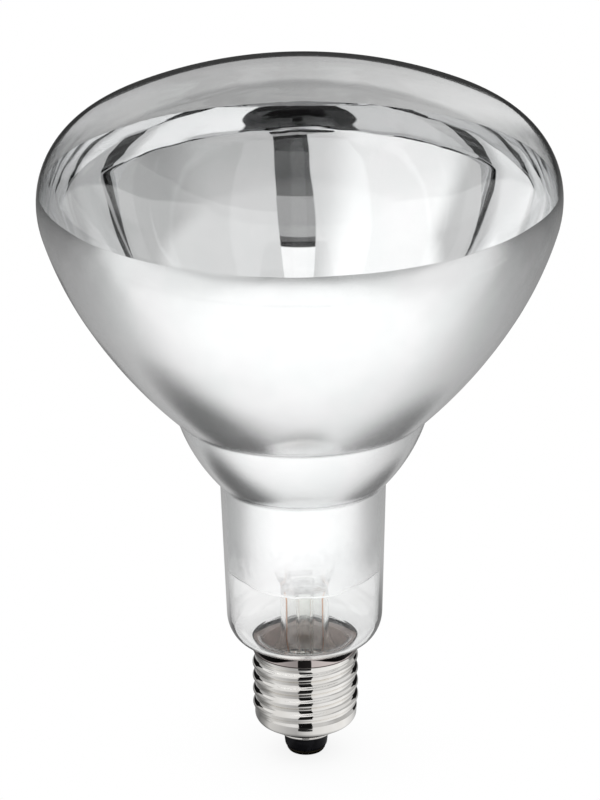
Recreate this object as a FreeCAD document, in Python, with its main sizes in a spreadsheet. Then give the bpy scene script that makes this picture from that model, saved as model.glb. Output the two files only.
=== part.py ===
import FreeCAD, Part
import math
import os
import Sketcher

V = FreeCAD.Vector
ROT = FreeCAD.Rotation
PLACE = FreeCAD.Placement

# Infrared heat lamp bulb: a blown reflector bulb of about 126 mm diameter on a
# 27 mm screw cap.  +Z runs along the lamp axis from the cap to the
# clear face, and z = 0 is the face of the centre contact.  Millimetres.

doc = FreeCAD.newDocument("heat_lamp_bulb")
sheet = doc.addObject("Spreadsheet::Sheet", "Dims")
_row = [0]


def cell(name, value):
    _row[0] += 1
    sheet.set("A%d" % _row[0], name)
    sheet.set("B%d" % _row[0], "%.9g" % value)
    sheet.setAlias("B%d" % _row[0], name)
    return value


# ---------------------------------------------------------------- dimensions
# blown bulb, outside
wall = cell("wall", 0.9)
r_wide = cell("r_wide", 62.916)
z_wide = cell("z_wide", 146.431)
rim_up = cell("rim_up", 20.439)
rim_up2 = cell("rim_up2", 24.112)
ang_up = 0.965
ang_up2 = 1.115
rim_dn = cell("rim_dn", 22.740)
bowl_a = cell("bowl_a", 91.791)
bowl_b = cell("bowl_b", 127.578)
ang_dn = 0.292
ang_dn2 = 0.540
ang_dn3 = 0.816
bulge = cell("bulge", 44.156)
neck_end_r = cell("neck_end_r", 11.2)
neck_end_z = cell("neck_end_z", 21.5)
neck_cone = 0.0309
z_neck_top = 73.597
shoulder_a = cell("shoulder_a", 8.776)
shoulder_b = cell("shoulder_b", 5.843)
ang_sh = 0.551
fil_neck = cell("fil_neck", 1.2)
fil_bulge = cell("fil_bulge", 1.1)
fil_groove = cell("fil_groove", 1.3)

# aluminised reflector film inside the bulb
film = cell("film", 0.2)
z_film_low = 49.5
z_film_high = 150.0

# glass stem: flare, tube and pressed seal
tube_r = cell("tube_r", 6.0)
tube_wall = cell("tube_wall", 1.0)
flare_r = cell("flare_r", 10.3)
flare_z = cell("flare_z", 22.3)
flare_edge = cell("flare_edge", 1.3)
flare_top = cell("flare_top", 34.5)
flare_arc = cell("flare_arc", 14.77)
flare_ang = math.radians(cell("flare_deg", 42.6))
press_low = cell("press_low", 45.0)
press_mid = cell("press_mid", 49.0)
press_high = cell("press_high", 58.0)
press_width = cell("press_width", 15.0)
press_thick = cell("press_thick", 5.0)

# exhaust tube with its melted-off tip
exh_r = cell("exh_r", 2.2)
exh_wall = cell("exh_wall", 0.8)
exh_tip_z = cell("exh_tip_z", 14.5)

# arbor rod with its button
rod_r = cell("rod_r", 1.5)
rod_top = cell("rod_top", 78.6)
button_r = cell("button_r", 2.7)
button_top = cell("button_top", 82.4)

# filament ring, supports and leads
fil_ring = cell("fil_ring", 12.0)
fil_z = cell("fil_z", 86.0)
coil_r = cell("coil_r", 0.8)
fil_sweep = cell("fil_sweep", 280.0)
fil_start = cell("fil_start", -50.0)
support_r = cell("support_r", 0.2)
loop_r = cell("loop_r", 1.05)
lead_r = cell("lead_r", 0.45)
lead_x = cell("lead_x", 4.5)
clamp_r = cell("clamp_r", 1.25)
clamp_ang = cell("clamp_ang", 12.0)
seal_r = cell("seal_r", 0.3)
out_r = cell("out_r", 0.2)

# 27 mm screw cap
cap_sheet = cell("cap_sheet", 0.3)
cap_major = cell("cap_major", 13.1)
cap_minor = cell("cap_minor", 12.14)
cap_pitch = cell("cap_pitch", 3.629)
cap_mid = cell("cap_mid", 12.62)
collar_top = cell("collar_top", 30.2)
collar_low = cell("collar_low", 28.5)
thread_top = cell("thread_top", 27.9)
thread_low = cell("thread_low", 10.9)
crest_front = cell("crest_front", 21.5)
lip_r = cell("lip_r", 6.0)
lip_z = cell("lip_z", 5.2)
cone_r = cell("cone_r", 11.35)
cone_z = cell("cone_z", 8.55)
ins_top = cell("ins_top", 9.0)
ins_r = cell("ins_r", 5.25)
ins_low = cell("ins_low", 1.2)
ins_hole = cell("ins_hole", 1.1)
con_r = cell("con_r", 4.8)
con_face = cell("con_face", 4.2)
con_dish = cell("con_dish", 1.9)
con_dish_z = cell("con_dish_z", 0.5)
cem_low = cell("cem_low", 21.5)
cem_high = cell("cem_high", 29.5)
cem_step = cell("cem_step", 28.2)
cem_in_r = cell("cem_in_r", 11.68)
cem_out_r = cell("cem_out_r", 12.79)
side_y = cell("side_y", 13.1)


# ------------------------------------------------- outline of the blown bulb
def unit(a):
    return (math.cos(a), math.sin(a))


def add(p, q, k=1.0):
    return (p[0] + k * q[0], p[1] + k * q[1])


def angle_of(p, c):
    return math.atan2(p[1] - c[1], p[0] - c[0])


c_up = (r_wide - rim_up, z_wide)
p_wide = (r_wide, z_wide)
p_up = add(c_up, unit(ang_up), rim_up)
c_up2 = add(p_up, unit(ang_up), -rim_up2)
p_up2 = add(c_up2, unit(ang_up2), rim_up2)
dome = cell("dome", p_up2[0] / math.cos(ang_up2))
c_dome = (0.0, p_up2[1] - dome * math.sin(ang_up2))
z_top = c_dome[1] + dome
c_dn = (r_wide - rim_dn, z_wide)
p_dn = add(c_dn, unit(-ang_dn), rim_dn)
c_ba = add(p_dn, unit(-ang_dn), -bowl_a)
p_ba = add(c_ba, unit(-ang_dn2), bowl_a)
c_bb = add(p_ba, unit(-ang_dn2), -bowl_b)
g_pt = add(c_bb, unit(-ang_dn3), bowl_b)
ang_nk = -math.atan(neck_cone)
c_sa = (10.440, 38.220)
p_sa = add(c_sa, unit(ang_nk), shoulder_a)
k_pt = (p_sa[0] + neck_cone * (z_neck_top - p_sa[1]), z_neck_top)
p_sb = add(c_sa, unit(-ang_sh), shoulder_a)
c_sb = add(p_sb, unit(-ang_sh), -shoulder_b)
z_under = c_sb[1] - shoulder_b
dx, dz = g_pt[0] - k_pt[0], g_pt[1] - k_pt[1]
ln = math.hypot(dx, dz)
hh = math.sqrt(bulge * bulge - ln * ln / 4.0)
c_bu = ((g_pt[0] + k_pt[0]) / 2 - dz / ln * hh, (g_pt[1] + k_pt[1]) / 2 + dx / ln * hh)

# concave fillet where the cylinder of the neck turns out under the shoulder
f_nk = (neck_end_r + fil_neck, z_under - fil_neck)
# concave fillet between neck cone and bulge
nn = unit(ang_nk)


def fillet_line_circle(p0, n, c, rr, f, guess):
    # centre at distance f outside the line and rr + f from the circle centre
    z = guess
    for _ in range(60):
        r = p0[0] + (f - (z - p0[1]) * n[1]) / n[0]
        e = math.hypot(r - c[0], z - c[1]) - (rr + f)
        z2 = z + 1e-6
        r2 = p0[0] + (f - (z2 - p0[1]) * n[1]) / n[0]
        e2 = math.hypot(r2 - c[0], z2 - c[1]) - (rr + f)
        z -= e / ((e2 - e) / 1e-6)
    return (p0[0] + (f - (z - p0[1]) * n[1]) / n[0], z)


f_bu = fillet_line_circle(k_pt, nn, c_bu, bulge, fil_bulge, k_pt[1] - 0.8)
k_lo = add(f_bu, nn, -fil_bulge)
k_hi = add(c_bu, unit(angle_of(f_bu, c_bu)), bulge)


def circles_meet(c0, r0, c1, r1, near):
    d = math.hypot(c1[0] - c0[0], c1[1] - c0[1])
    a = (r0 * r0 - r1 * r1 + d * d) / (2 * d)
    h = math.sqrt(r0 * r0 - a * a)
    ex = ((c1[0] - c0[0]) / d, (c1[1] - c0[1]) / d)
    m = add(c0, ex, a)
    best = None
    for sgn in (1, -1):
        q = (m[0] - sgn * ex[1] * h, m[1] + sgn * ex[0] * h)
        e = math.hypot(q[0] - near[0], q[1] - near[1])
        if best is None or e < best[0]:
            best = (e, q)
    return best[1]


# concave fillet between the bulge and the bowl
f_gr = circles_meet(c_bu, bulge + fil_groove, c_bb, bowl_b + fil_groove, g_pt)
g_lo = add(c_bu, unit(angle_of(f_gr, c_bu)), bulge)
g_hi = add(c_bb, unit(angle_of(f_gr, c_bb)), bowl_b)

# (name, point, outward normal) from the neck end up to the crown, and the
# piece that leads to the next point: a line, or an arc with its centre, the
# cell that holds its radius, and +1 where it bulges outwards
OUT = [
    ("p_end", (neck_end_r, neck_end_z), (1.0, 0.0), ("line",)),
    ("p_nkb", (neck_end_r, f_nk[1]), (1.0, 0.0), ("arc", f_nk, "fil_neck", -1)),
    ("p_nkc", (f_nk[0], z_under), (0.0, -1.0), ("line",)),
    ("p_und", (c_sb[0], z_under), (0.0, -1.0), ("arc", c_sb, "shoulder_b", 1)),
    ("p_shb", p_sb, unit(-ang_sh), ("arc", c_sa, "shoulder_a", 1)),
    ("p_sha", p_sa, nn, ("line",)),
    ("p_klo", k_lo, nn, ("arc", f_bu, "fil_bulge", -1)),
    ("p_khi", k_hi, unit(angle_of(k_hi, c_bu)), ("arc", c_bu, "bulge", 1)),
    ("p_glo", g_lo, unit(angle_of(g_lo, c_bu)), ("arc", f_gr, "fil_groove", -1)),
    ("p_ghi", g_hi, unit(angle_of(g_hi, c_bb)), ("arc", c_bb, "bowl_b", 1)),
    ("p_bwa", p_ba, unit(-ang_dn2), ("arc", c_ba, "bowl_a", 1)),
    ("p_rdn", p_dn, unit(-ang_dn), ("arc", c_dn, "rim_dn", 1)),
    ("p_wid", p_wide, (1.0, 0.0), ("arc", c_up, "rim_up", 1)),
    ("p_rup", p_up, unit(ang_up), ("arc", c_up2, "rim_up2", 1)),
    ("p_rdm", p_up2, unit(ang_up2), ("arc", c_dome, "dome", 1)),
    ("p_top", (0.0, z_top), (0.0, 1.0), None),
]
for nm, p, n, seg in OUT:
    if nm != "p_top":
        cell(nm + "_r", p[0])
    cell(nm + "_z", p[1])
    cell(nm + "_nr", n[0])
    cell(nm + "_nz", n[1])

# where the film ends: on the neck cone and just above the widest ring
t_lo = (z_film_low + wall * nn[1] - p_sa[1])
film_lo = (p_sa[0] + neck_cone * t_lo, p_sa[1] + t_lo)
a_hi = math.asin((z_film_high - z_wide) / (rim_up - wall))
film_hi = add(c_up, unit(a_hi), rim_up)
for nm, p, n in (("p_flo", film_lo, nn), ("p_fhi", film_hi, unit(a_hi))):
    cell(nm + "_r", p[0])
    cell(nm + "_z", p[1])
    cell(nm + "_nr", n[0])
    cell(nm + "_nz", n[1])
doc.recompute()


# -------------------------------------------------------------------- helpers
def plane(body, role):
    for f in body.Origin.OriginFeatures:
        if f.Role == role:
            return f
    raise RuntimeError(role)


def sketch_on(body, name, role, z_expr=None):
    sk = body.newObject("Sketcher::SketchObject", name)
    sk.AttachmentSupport = [(plane(body, role), "")]
    sk.MapMode = "FlatFace"
    if z_expr:
        sk.setExpression("AttachmentOffset.Base.z", z_expr)
    return sk


class Outline:
    """Closed outline in a sketch: each corner is tied to cells by its two
    distances from the origin, and each arc by its radius."""

    def __init__(self, sk):
        self.sk = sk
        self.pts = []
        self.segs = []

    def to(self, p, er, ez, seg):
        self.pts.append((p, er, ez))
        self.segs.append(seg)

    def close(self):
        sk, n = self.sk, len(self.pts)
        geo = []
        ends = []
        for i in range(n):
            p, q = self.pts[i][0], self.pts[(i + 1) % n][0]
            seg = self.segs[i]
            if seg[0] == "line":
                geo.append(sk.addGeometry(Part.LineSegment(V(p[0], p[1], 0), V(q[0], q[1], 0)), False))
                ends.append((1, 2))
            else:
                c = seg[1]
                a0, a1 = angle_of(p, c), angle_of(q, c)
                d = (a1 - a0 + math.pi) % (2 * math.pi) - math.pi
                rr = math.hypot(p[0] - c[0], p[1] - c[1])
                circ = Part.Circle(V(c[0], c[1], 0), V(0, 0, 1), rr)
                if d > 0:
                    geo.append(sk.addGeometry(Part.ArcOfCircle(circ, a0, a0 + d), False))
                    ends.append((1, 2))
                else:
                    geo.append(sk.addGeometry(Part.ArcOfCircle(circ, a0 + d, a0), False))
                    ends.append((2, 1))
        cons = []
        bind = []

        def put(c, expr=None):
            cons.append(c)
            if expr:
                bind.append((len(cons) - 1, expr))

        for i in range(n):
            j = (i + 1) % n
            put(Sketcher.Constraint("Coincident", geo[i], ends[i][1], geo[j], ends[j][0]))
        for i in range(n):
            p, er, ez = self.pts[i]
            if er is None:
                put(Sketcher.Constraint("PointOnObject", geo[i], ends[i][0], -2))
            else:
                put(Sketcher.Constraint("DistanceX", -1, 1, geo[i], ends[i][0], p[0]), er)
            put(Sketcher.Constraint("DistanceY", -1, 1, geo[i], ends[i][0], p[1]), ez)
        for i in range(n):
            seg = self.segs[i]
            if seg[0] == "arc" and seg[2] is None:
                # crown: the arc's centre is on the lamp axis
                put(Sketcher.Constraint("PointOnObject", geo[i], 3, -2))
            elif seg[0] == "arc":
                p, c = self.pts[i][0], seg[1]
                put(Sketcher.Constraint("Radius", geo[i], math.hypot(p[0] - c[0], p[1] - c[1])), seg[2])
        sk.addConstraint(cons)
        for i, e in bind:
            sk.setExpression("Constraints[%d]" % i, e)


def revolve(body, sk, name):
    rev = body.newObject("PartDesign::Revolution", name)
    rev.Profile = sk
    rev.ReferenceAxis = (sk, ["V_Axis"])
    rev.Angle = 360.0
    body.Tip = rev
    return rev


def turned(name, pts):
    """Body of revolution: pts are (r, z, r expression, z expression)."""
    body = doc.addObject("PartDesign::Body", name)
    body.Label = name
    sk = sketch_on(body, name + "_profile", "XZ_Plane")
    o = Outline(sk)
    for r, z, er, ez in pts:
        o.to((r, z), er, ez, ("line",))
    o.close()
    revolve(body, sk, name + "_turn")
    return body


def D(expr):
    return "Dims." + expr


PARTS = []


# ----------------------------------------------- glass bulb and its inside film
def offset_point(item, k, kexpr):
    nm, p, n = item[0], item[1], item[2]
    q = add(p, n, -k)
    er = None
    if nm != "p_top":
        er = "Dims.%s_r - (%s) * Dims.%s_nr" % (nm, kexpr, nm)
    ez = "Dims.%s_z - (%s) * Dims.%s_nz" % (nm, kexpr, nm)
    return q, er, ez


def offset_seg(seg, k, kexpr):
    if seg is None or seg[0] == "line":
        return ("line",)
    if seg[2] == "dome":
        return ("arc", seg[1], None)
    sgn = "-" if seg[3] > 0 else "+"
    return ("arc", seg[1], "Dims.%s %s (%s)" % (seg[2], sgn, kexpr))


def skin(name, chain, k0, e0, k1, e1):
    """Wall between two offsets of the same outline."""
    body = doc.addObject("PartDesign::Body", name)
    body.Label = name
    sk = sketch_on(body, name + "_profile", "XZ_Plane")
    o = Outline(sk)
    n = len(chain)
    for i, it in enumerate(chain):
        q, er, ez = offset_point(it, k0, e0)
        o.to(q, er, ez, offset_seg(it[3], k0, e0) if i < n - 1 else ("line",))
    for i in range(n - 1, -1, -1):
        q, er, ez = offset_point(chain[i], k1, e1)
        o.to(q, er, ez, offset_seg(chain[i - 1][3], k1, e1) if i > 0 else ("line",))
    o.close()
    revolve(body, sk, name + "_turn")
    return body


glass = skin("glass_envelope", OUT, 0.0, "0", wall, "Dims.wall")
PARTS.append(glass)

idx = {it[0]: i for i, it in enumerate(OUT)}
film_chain = [("p_flo", film_lo, nn, ("line",))]
for it in OUT[idx["p_klo"]:idx["p_wid"] + 1]:
    film_chain.append(it)
film_chain.append(("p_fhi", film_hi, unit(a_hi), None))
coat = skin("reflector_coating", film_chain, wall, "Dims.wall",
            wall + film, "Dims.wall + Dims.film")
PARTS.append(coat)

# ----------------------------------------------------------------- glass stem
stem = doc.addObject("PartDesign::Body", "stem_glass_form")
sk = sketch_on(stem, "stem_profile", "XZ_Plane")
o = Outline(sk)
# funnel flare: the outside sweeps from the tube out to the sealed rim
c_fl = (tube_r + flare_arc, flare_top)
fl_o = add(c_fl, (-math.cos(flare_ang), -math.sin(flare_ang)), flare_arc)
fl_i = add(c_fl, (-math.cos(flare_ang), -math.sin(flare_ang)), flare_arc + tube_wall)
FR = "Dims.tube_r + Dims.flare_arc - (%s) * cos(Dims.flare_deg)"
FZ = "Dims.flare_top - (%s) * sin(Dims.flare_deg)"
arc_in = "Dims.flare_arc + Dims.tube_wall"
o.to((flare_r, flare_z), D("flare_r"), D("flare_z"), ("line",))
o.to((flare_r, flare_z + flare_edge), D("flare_r"), D("flare_z + Dims.flare_edge"), ("line",))
o.to(fl_o, FR % "Dims.flare_arc", FZ % "Dims.flare_arc", ("arc", c_fl, "Dims.flare_arc"))
o.to((tube_r, flare_top), D("tube_r"), D("flare_top"), ("line",))
o.to((tube_r, press_low), D("tube_r"), D("press_low"), ("line",))
o.to((tube_r - tube_wall, press_low), D("tube_r - Dims.tube_wall"), D("press_low"), ("line",))
o.to((tube_r - tube_wall, flare_top), D("tube_r - Dims.tube_wall"), D("flare_top"), ("arc", c_fl, arc_in))
o.to(fl_i, FR % ("(" + arc_in + ")"), FZ % ("(" + arc_in + ")"), ("line",))
o.to((flare_r - 0.9, flare_z), D("flare_r - 0.9"), D("flare_z"), ("line",))
o.close()
revolve(stem, sk, "stem_flare_turn")
doc.recompute()

sk1 = sketch_on(stem, "press_root", "XY_Plane", D("press_low"))
g = sk1.addGeometry(Part.Circle(V(0, 0, 0), V(0, 0, 1), tube_r), False)
sk1.addConstraint([Sketcher.Constraint("Coincident", g, 3, -1, 1), Sketcher.Constraint("Radius", g, tube_r)])
sk1.setExpression("Constraints[1]", D("tube_r"))


def stadium(sk, w, d, ew, ed):
    a, rr = w / 2 - d / 2, d / 2
    g = [sk.addGeometry(Part.LineSegment(V(-a, -rr, 0), V(a, -rr, 0)), False),
         sk.addGeometry(Part.ArcOfCircle(Part.Circle(V(a, 0, 0), V(0, 0, 1), rr), -math.pi / 2, math.pi / 2), False),
         sk.addGeometry(Part.LineSegment(V(a, rr, 0), V(-a, rr, 0)), False),
         sk.addGeometry(Part.ArcOfCircle(Part.Circle(V(-a, 0, 0), V(0, 0, 1), rr), math.pi / 2, 3 * math.pi / 2), False)]
    C = Sketcher.Constraint
    sk.addConstraint([
        C("Tangent", g[0], 2, g[1], 1), C("Tangent", g[1], 2, g[2], 1),
        C("Tangent", g[2], 2, g[3], 1), C("Tangent", g[3], 2, g[0], 1),
        C("PointOnObject", g[1], 3, -1),
        C("Symmetric", g[1], 3, g[3], 3, -1, 1),
        C("Radius", g[1], rr), C("Radius", g[3], rr),
        C("DistanceX", -1, 1, g[1], 3, a)])
    sk.setExpression("Constraints[6]", ed)
    sk.setExpression("Constraints[7]", ed)
    sk.setExpression("Constraints[8]", ew)


half_w = "Dims.press_width / 2 - Dims.press_thick / 2"
sk2 = sketch_on(stem, "press_shape", "XY_Plane", D("press_mid"))
stadium(sk2, press_width, press_thick, half_w, "Dims.press_thick / 2")
loft = stem.newObject("PartDesign::AdditiveLoft", "press_blend")
loft.Profile = sk1
loft.Sections = [sk2]
stem.Tip = loft
doc.recompute()
sk3 = sketch_on(stem, "press_pad_shape", "XY_Plane", D("press_mid"))
stadium(sk3, press_width, press_thick, half_w, "Dims.press_thick / 2")
pad = stem.newObject("PartDesign::Pad", "press_pad")
pad.Profile = sk3
pad.Type = "Length"
pad.setExpression("Length", "Dims.press_high - Dims.press_mid")
stem.Tip = pad
doc.recompute()

# --------------------------------------------------------------- exhaust tube
exh = turned("exhaust_tube", [
    (exh_r - exh_wall, press_low, D("exh_r - Dims.exh_wall"), D("press_low")),
    (exh_r, press_low, D("exh_r"), D("press_low")),
    (exh_r, exh_tip_z + 3.0, D("exh_r"), D("exh_tip_z + 3")),
    (exh_r - 0.5, exh_tip_z + 1.2, D("exh_r - 0.5"), D("exh_tip_z + 1.2")),
    (0.9, exh_tip_z + 0.2, "0.9", D("exh_tip_z + 0.2")),
    (0.0, exh_tip_z, None, D("exh_tip_z")),
    (0.0, exh_tip_z + 2.2, None, D("exh_tip_z + 2.2")),
    (exh_r - exh_wall, exh_tip_z + 4.2, D("exh_r - Dims.exh_wall"), D("exh_tip_z + 4.2")),
])
PARTS.append(exh)


# ------------------------------------------------------------------ bent wires
def bent_path(points, bend):
    """Straight runs joined by tangent arcs."""
    pts = [V(*p) for p in points]
    edges = []
    cur = pts[0]
    for i in range(1, len(pts) - 1):
        a, b, c = pts[i - 1], pts[i], pts[i + 1]
        u = (a - b).normalize()
        w = (c - b).normalize()
        half = u.getAngle(w) / 2.0
        cut = bend / math.tan(half)
        p, q = b + u * cut, b + w * cut
        bis = (u + w).normalize()
        cen = b + bis * (bend / math.sin(half))
        mid = cen - bis * bend
        edges.append(Part.LineSegment(cur, p).toShape())
        edges.append(Part.Arc(p, mid, q).toShape())
        cur = q
    edges.append(Part.LineSegment(cur, pts[-1]).toShape())
    return Part.Wire(edges)


def bent_wire(name, points, bend, radius_expr):
    path = doc.addObject("Part::Feature", name + "_path")
    path.Shape = bent_path(points, bend)
    ring = doc.addObject("Part::Circle", name + "_section")
    ring.setExpression("Radius", radius_expr)
    d = V(*points[1]) - V(*points[0])
    ring.Placement = PLACE(V(*points[0]), ROT(V(0, 0, 1), d))
    sw = doc.addObject("Part::Sweep", name + "_sweep")
    sw.Sections = [ring]
    sw.Spine = (path, [])
    sw.Solid = True
    sw.Frenet = True
    sw.Transition = "Right corner"
    return sw


def on_ring(deg, r, z):
    a = math.radians(deg)
    return (r * math.cos(a), r * math.sin(a), z)


def torus(name, r1, r2, place, sweep=None):
    t = doc.addObject("Part::Torus", name)
    t.setExpression("Radius1", r1)
    t.setExpression("Radius2", r2)
    if sweep:
        t.setExpression("Angle3", sweep)
    t.Placement = place
    return t


# filament: the coil is one round bar of the coil's outside diameter
filament = torus("filament", D("fil_ring"), D("coil_r"),
                 PLACE(V(0, 0, fil_z), ROT(V(0, 0, 1), fil_start)), D("fil_sweep"))
filament.Label = "filament"

# two lead wires, each ending in a clamp that grips an end of the filament
ends = {"right": fil_start, "left": fil_start + fil_sweep}
leads = {}
seals = {}
for side, sgn in (("left", -1.0), ("right", 1.0)):
    deg = ends[side]
    ex, ey, _ = on_ring(deg, fil_ring, 0.0)
    z_stop = fil_z - (coil_r + clamp_r) / 2.0
    sw = bent_wire("lead_%s" % side, [(sgn * lead_x, 0, press_high), (sgn * lead_x, 0, 66.0),
                                      (ex, ey, 79.0), (ex, ey, z_stop)], 3.0, D("lead_r"))
    half = clamp_ang / 2.0
    start = deg - half
    outer = torus("clamp_%s_body" % side, D("fil_ring"), D("clamp_r"),
                  PLACE(V(0, 0, fil_z), ROT(V(0, 0, 1), start)), D("clamp_ang"))
    inner = torus("clamp_%s_bore" % side, D("fil_ring"), D("coil_r"),
                  PLACE(V(0, 0, fil_z), ROT(V(0, 0, 1), start)), D("clamp_ang"))
    both = doc.addObject("Part::Fuse", "lead_%s_joined" % side)
    both.Base, both.Tool = sw, outer
    lead = doc.addObject("Part::Cut", "lead_wire_%s" % side)
    lead.Base, lead.Tool = both, inner
    lead.Label = "lead_wire_%s" % side
    leads[side] = lead
    # wire sealed in the press
    seal = doc.addObject("Part::Cylinder", "seal_wire_%s" % side)
    seal.setExpression("Radius", D("seal_r"))
    seal.setExpression("Height", "Dims.press_high - Dims.press_low")
    seal.Placement = PLACE(V(sgn * lead_x, 0, press_low), ROT())
    seal.setExpression("Placement.Base.z", D("press_low"))
    seal.Label = "seal_wire_%s" % side
    seals[side] = seal
    PARTS.append(lead)
    PARTS.append(seal)
PARTS.append(filament)

# the press has the two seal wires running through it
bores = []
for side, sgn in (("left", -1.0), ("right", 1.0)):
    b = doc.addObject("Part::Cylinder", "seal_bore_%s" % side)
    b.setExpression("Radius", D("seal_r"))
    b.setExpression("Height", "Dims.press_high - Dims.press_low")
    b.Placement = PLACE(V(sgn * lead_x, 0, press_low), ROT())
    b.setExpression("Placement.Base.z", D("press_low"))
    bores.append(b)
cut1 = doc.addObject("Part::Cut", "stem_cut_left")
cut1.Base, cut1.Tool = stem, bores[0]
stem_glass = doc.addObject("Part::Cut", "stem_glass")
stem_glass.Base, stem_glass.Tool = cut1, bores[1]
stem_glass.Label = "stem_glass"
PARTS.append(stem_glass)

# arbor rod with the button that holds the supports
rod = turned("arbor_form", [
    (0.0, press_high, None, D("press_high")),
    (rod_r, press_high, D("rod_r"), D("press_high")),
    (rod_r, rod_top, D("rod_r"), D("rod_top")),
    (button_r - 0.3, rod_top + 0.7, D("button_r - 0.3"), D("rod_top + 0.7")),
    (button_r, rod_top + 1.5, D("button_r"), D("rod_top + 1.5")),
    (button_r, button_top - 1.3, D("button_r"), D("button_top - 1.3")),
    (button_r - 0.5, button_top - 0.5, D("button_r - 0.5"), D("button_top - 0.5")),
    (button_r - 1.4, button_top, D("button_r - 1.4"), D("button_top")),
    (0.0, button_top, None, D("button_top")),
])
tool = rod
n_sup = 4
z_sup = (rod_top + button_top) / 2.0
for i in range(n_sup):
    deg = fil_start + fil_sweep * (i + 1) / (n_sup + 1.0)
    pts = [on_ring(deg, 0.9 if i % 2 else 1.3, z_sup), on_ring(deg, fil_ring - 1.6, z_sup + 0.9),
           on_ring(deg, fil_ring, fil_z - loop_r)]
    wire = bent_wire("support_%d" % (i + 1), pts, 0.7, D("support_r"))
    a = math.radians(deg)
    loop = torus("support_loop_%d" % (i + 1), D("loop_r"), D("support_r"),
                 PLACE(V(*on_ring(deg, fil_ring, fil_z)), ROT(V(0, 0, 1), V(-math.sin(a), math.cos(a), 0))))
    sup = doc.addObject("Part::Fuse", "support_wire_%d" % (i + 1))
    sup.Base, sup.Tool = wire, loop
    sup.Label = "support_wire_%d" % (i + 1)
    PARTS.append(sup)
    c = doc.addObject("Part::Cut", "arbor_cut_%d" % (i + 1) if i < n_sup - 1 else "arbor_rod")
    c.Base, c.Tool = tool, wire
    tool = c
tool.Label = "arbor_rod"
PARTS.append(tool)

# ------------------------------------------------------------------ screw cap
# The shell is one drawn sheet: a plain collar, a rolled round thread and a cone
# that ends in a lip round the insulator.  The rolled thread is a helical
# surface, so its two faces are laid through points of the round profile.
TH_H = (cap_major - cap_minor) / 2.0
TH_R = ((cap_pitch / 4.0) ** 2 + TH_H ** 2) / (2.0 * TH_H)


def round_wave(x):
    """Round thread profile, -1..1, crest at x = 0, one pitch = 1."""
    x = abs((x + 0.5) % 1.0 - 0.5) * cap_pitch
    h = (cap_major - cap_minor) / 2.0
    if x <= cap_pitch / 4.0:
        y = TH_R - math.sqrt(max(TH_R * TH_R - x * x, 0.0))
        return 1.0 - y / h
    x = cap_pitch / 2.0 - x
    y = TH_R - math.sqrt(max(TH_R * TH_R - x * x, 0.0))
    return -1.0 + y / h


def fade(z):
    """Full thread in the middle, run out to nothing at both ends."""
    def s(t):
        t = min(1.0, max(0.0, t))
        return t * t * t * (10 - 15 * t + 6 * t * t)
    return s((thread_top - z) / 2.2) * s((z - thread_low) / 2.6)


def thread_radius(theta, z):
    # right-hand helix, crest at the front (-Y) at crest_front
    turn = (theta + math.pi / 2.0) / (2 * math.pi)
    return cap_mid + fade(z) * (cap_major - cap_minor) / 2.0 * round_wave((z - crest_front) / cap_pitch - turn)


def thread_faces():
    nt, fine = 12, 1200
    nz = 40
    zz = [thread_low + (thread_top - thread_low) * j / (nz - 1.0) for j in range(nz)]
    outer, inner = [], []
    dzf = (thread_top - thread_low) / fine
    for i in range(nt):
        th = 2 * math.pi * i / nt
        zf = [thread_low + dzf * j for j in range(fine + 1)]
        rf = [thread_radius(th, z) for z in zf]
        # inside of the sheet: stepped in along the section's normal
        oz, orr = [], []
        for j in range(fine + 1):
            a, b = max(j - 1, 0), min(j + 1, fine)
            sl = (rf[b] - rf[a]) / (zf[b] - zf[a])
            if j in (0, fine):
                sl = 0.0
            k = math.sqrt(1 + sl * sl)
            oz.append(zf[j] + cap_sheet * sl / k)
            orr.append(rf[j] - cap_sheet / k)
        row_o, row_i = [], []
        m = 0
        for z in zz:
            row_o.append(V(thread_radius(th, z) * math.cos(th), thread_radius(th, z) * math.sin(th), z))
            while m < fine - 1 and oz[m + 1] < z:
                m += 1
            t = (z - oz[m]) / (oz[m + 1] - oz[m]) if oz[m + 1] > oz[m] else 0.0
            r = orr[m] + min(1.0, max(0.0, t)) * (orr[m + 1] - orr[m])
            row_i.append(V(r * math.cos(th), r * math.sin(th), z))
        outer.append(row_o)
        inner.append(row_i)
    return helix_face(outer), helix_face(inner)


def around(rows):
    """Control points of a closed uniform cubic through the given rows."""
    n = len(rows)
    ctrl = [list(r) for r in rows]
    for _ in range(60):
        for i in range(n):
            a, b, d = ctrl[i - 1], ctrl[(i + 1) % n], rows[i]
            ctrl[i] = [(d[j] * 6 - a[j] - b[j]) * 0.25 for j in range(len(d))]
    return ctrl


def helix_face(grid):
    n = len(grid)
    steps = [float(j) for j in range(len(grid[0]))]
    rows = []
    for col in grid:
        c = Part.BSplineCurve()
        c.interpolate(Points=col, Parameters=steps)
        rows.append(c.getPoles())
    ctrl = around(rows)
    knots = [float(i) for i in range(n + 1)]
    for shift in range(4):
        s = Part.BSplineSurface()
        s.buildFromPolesMultsKnots(ctrl[n - shift:] + ctrl[:n - shift], [1] * (n + 1), c.getMultiplicities(),
                                   knots, c.getKnots(), True, False, 3, 3)
        if (s.value(0.0, steps[0]) - grid[0][0]).Length < 1e-4:
            return s.toShape()
    raise RuntimeError("thread face")


def ring_faces(pts):
    fs = []
    for (r0, z0), (r1, z1) in zip(pts[:-1], pts[1:]):
        e = Part.LineSegment(V(r0, 0, z0), V(r1, 0, z1)).toShape()
        fs += e.revolve(V(0, 0, 0), V(0, 0, 1), 360).Faces
    return fs


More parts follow.
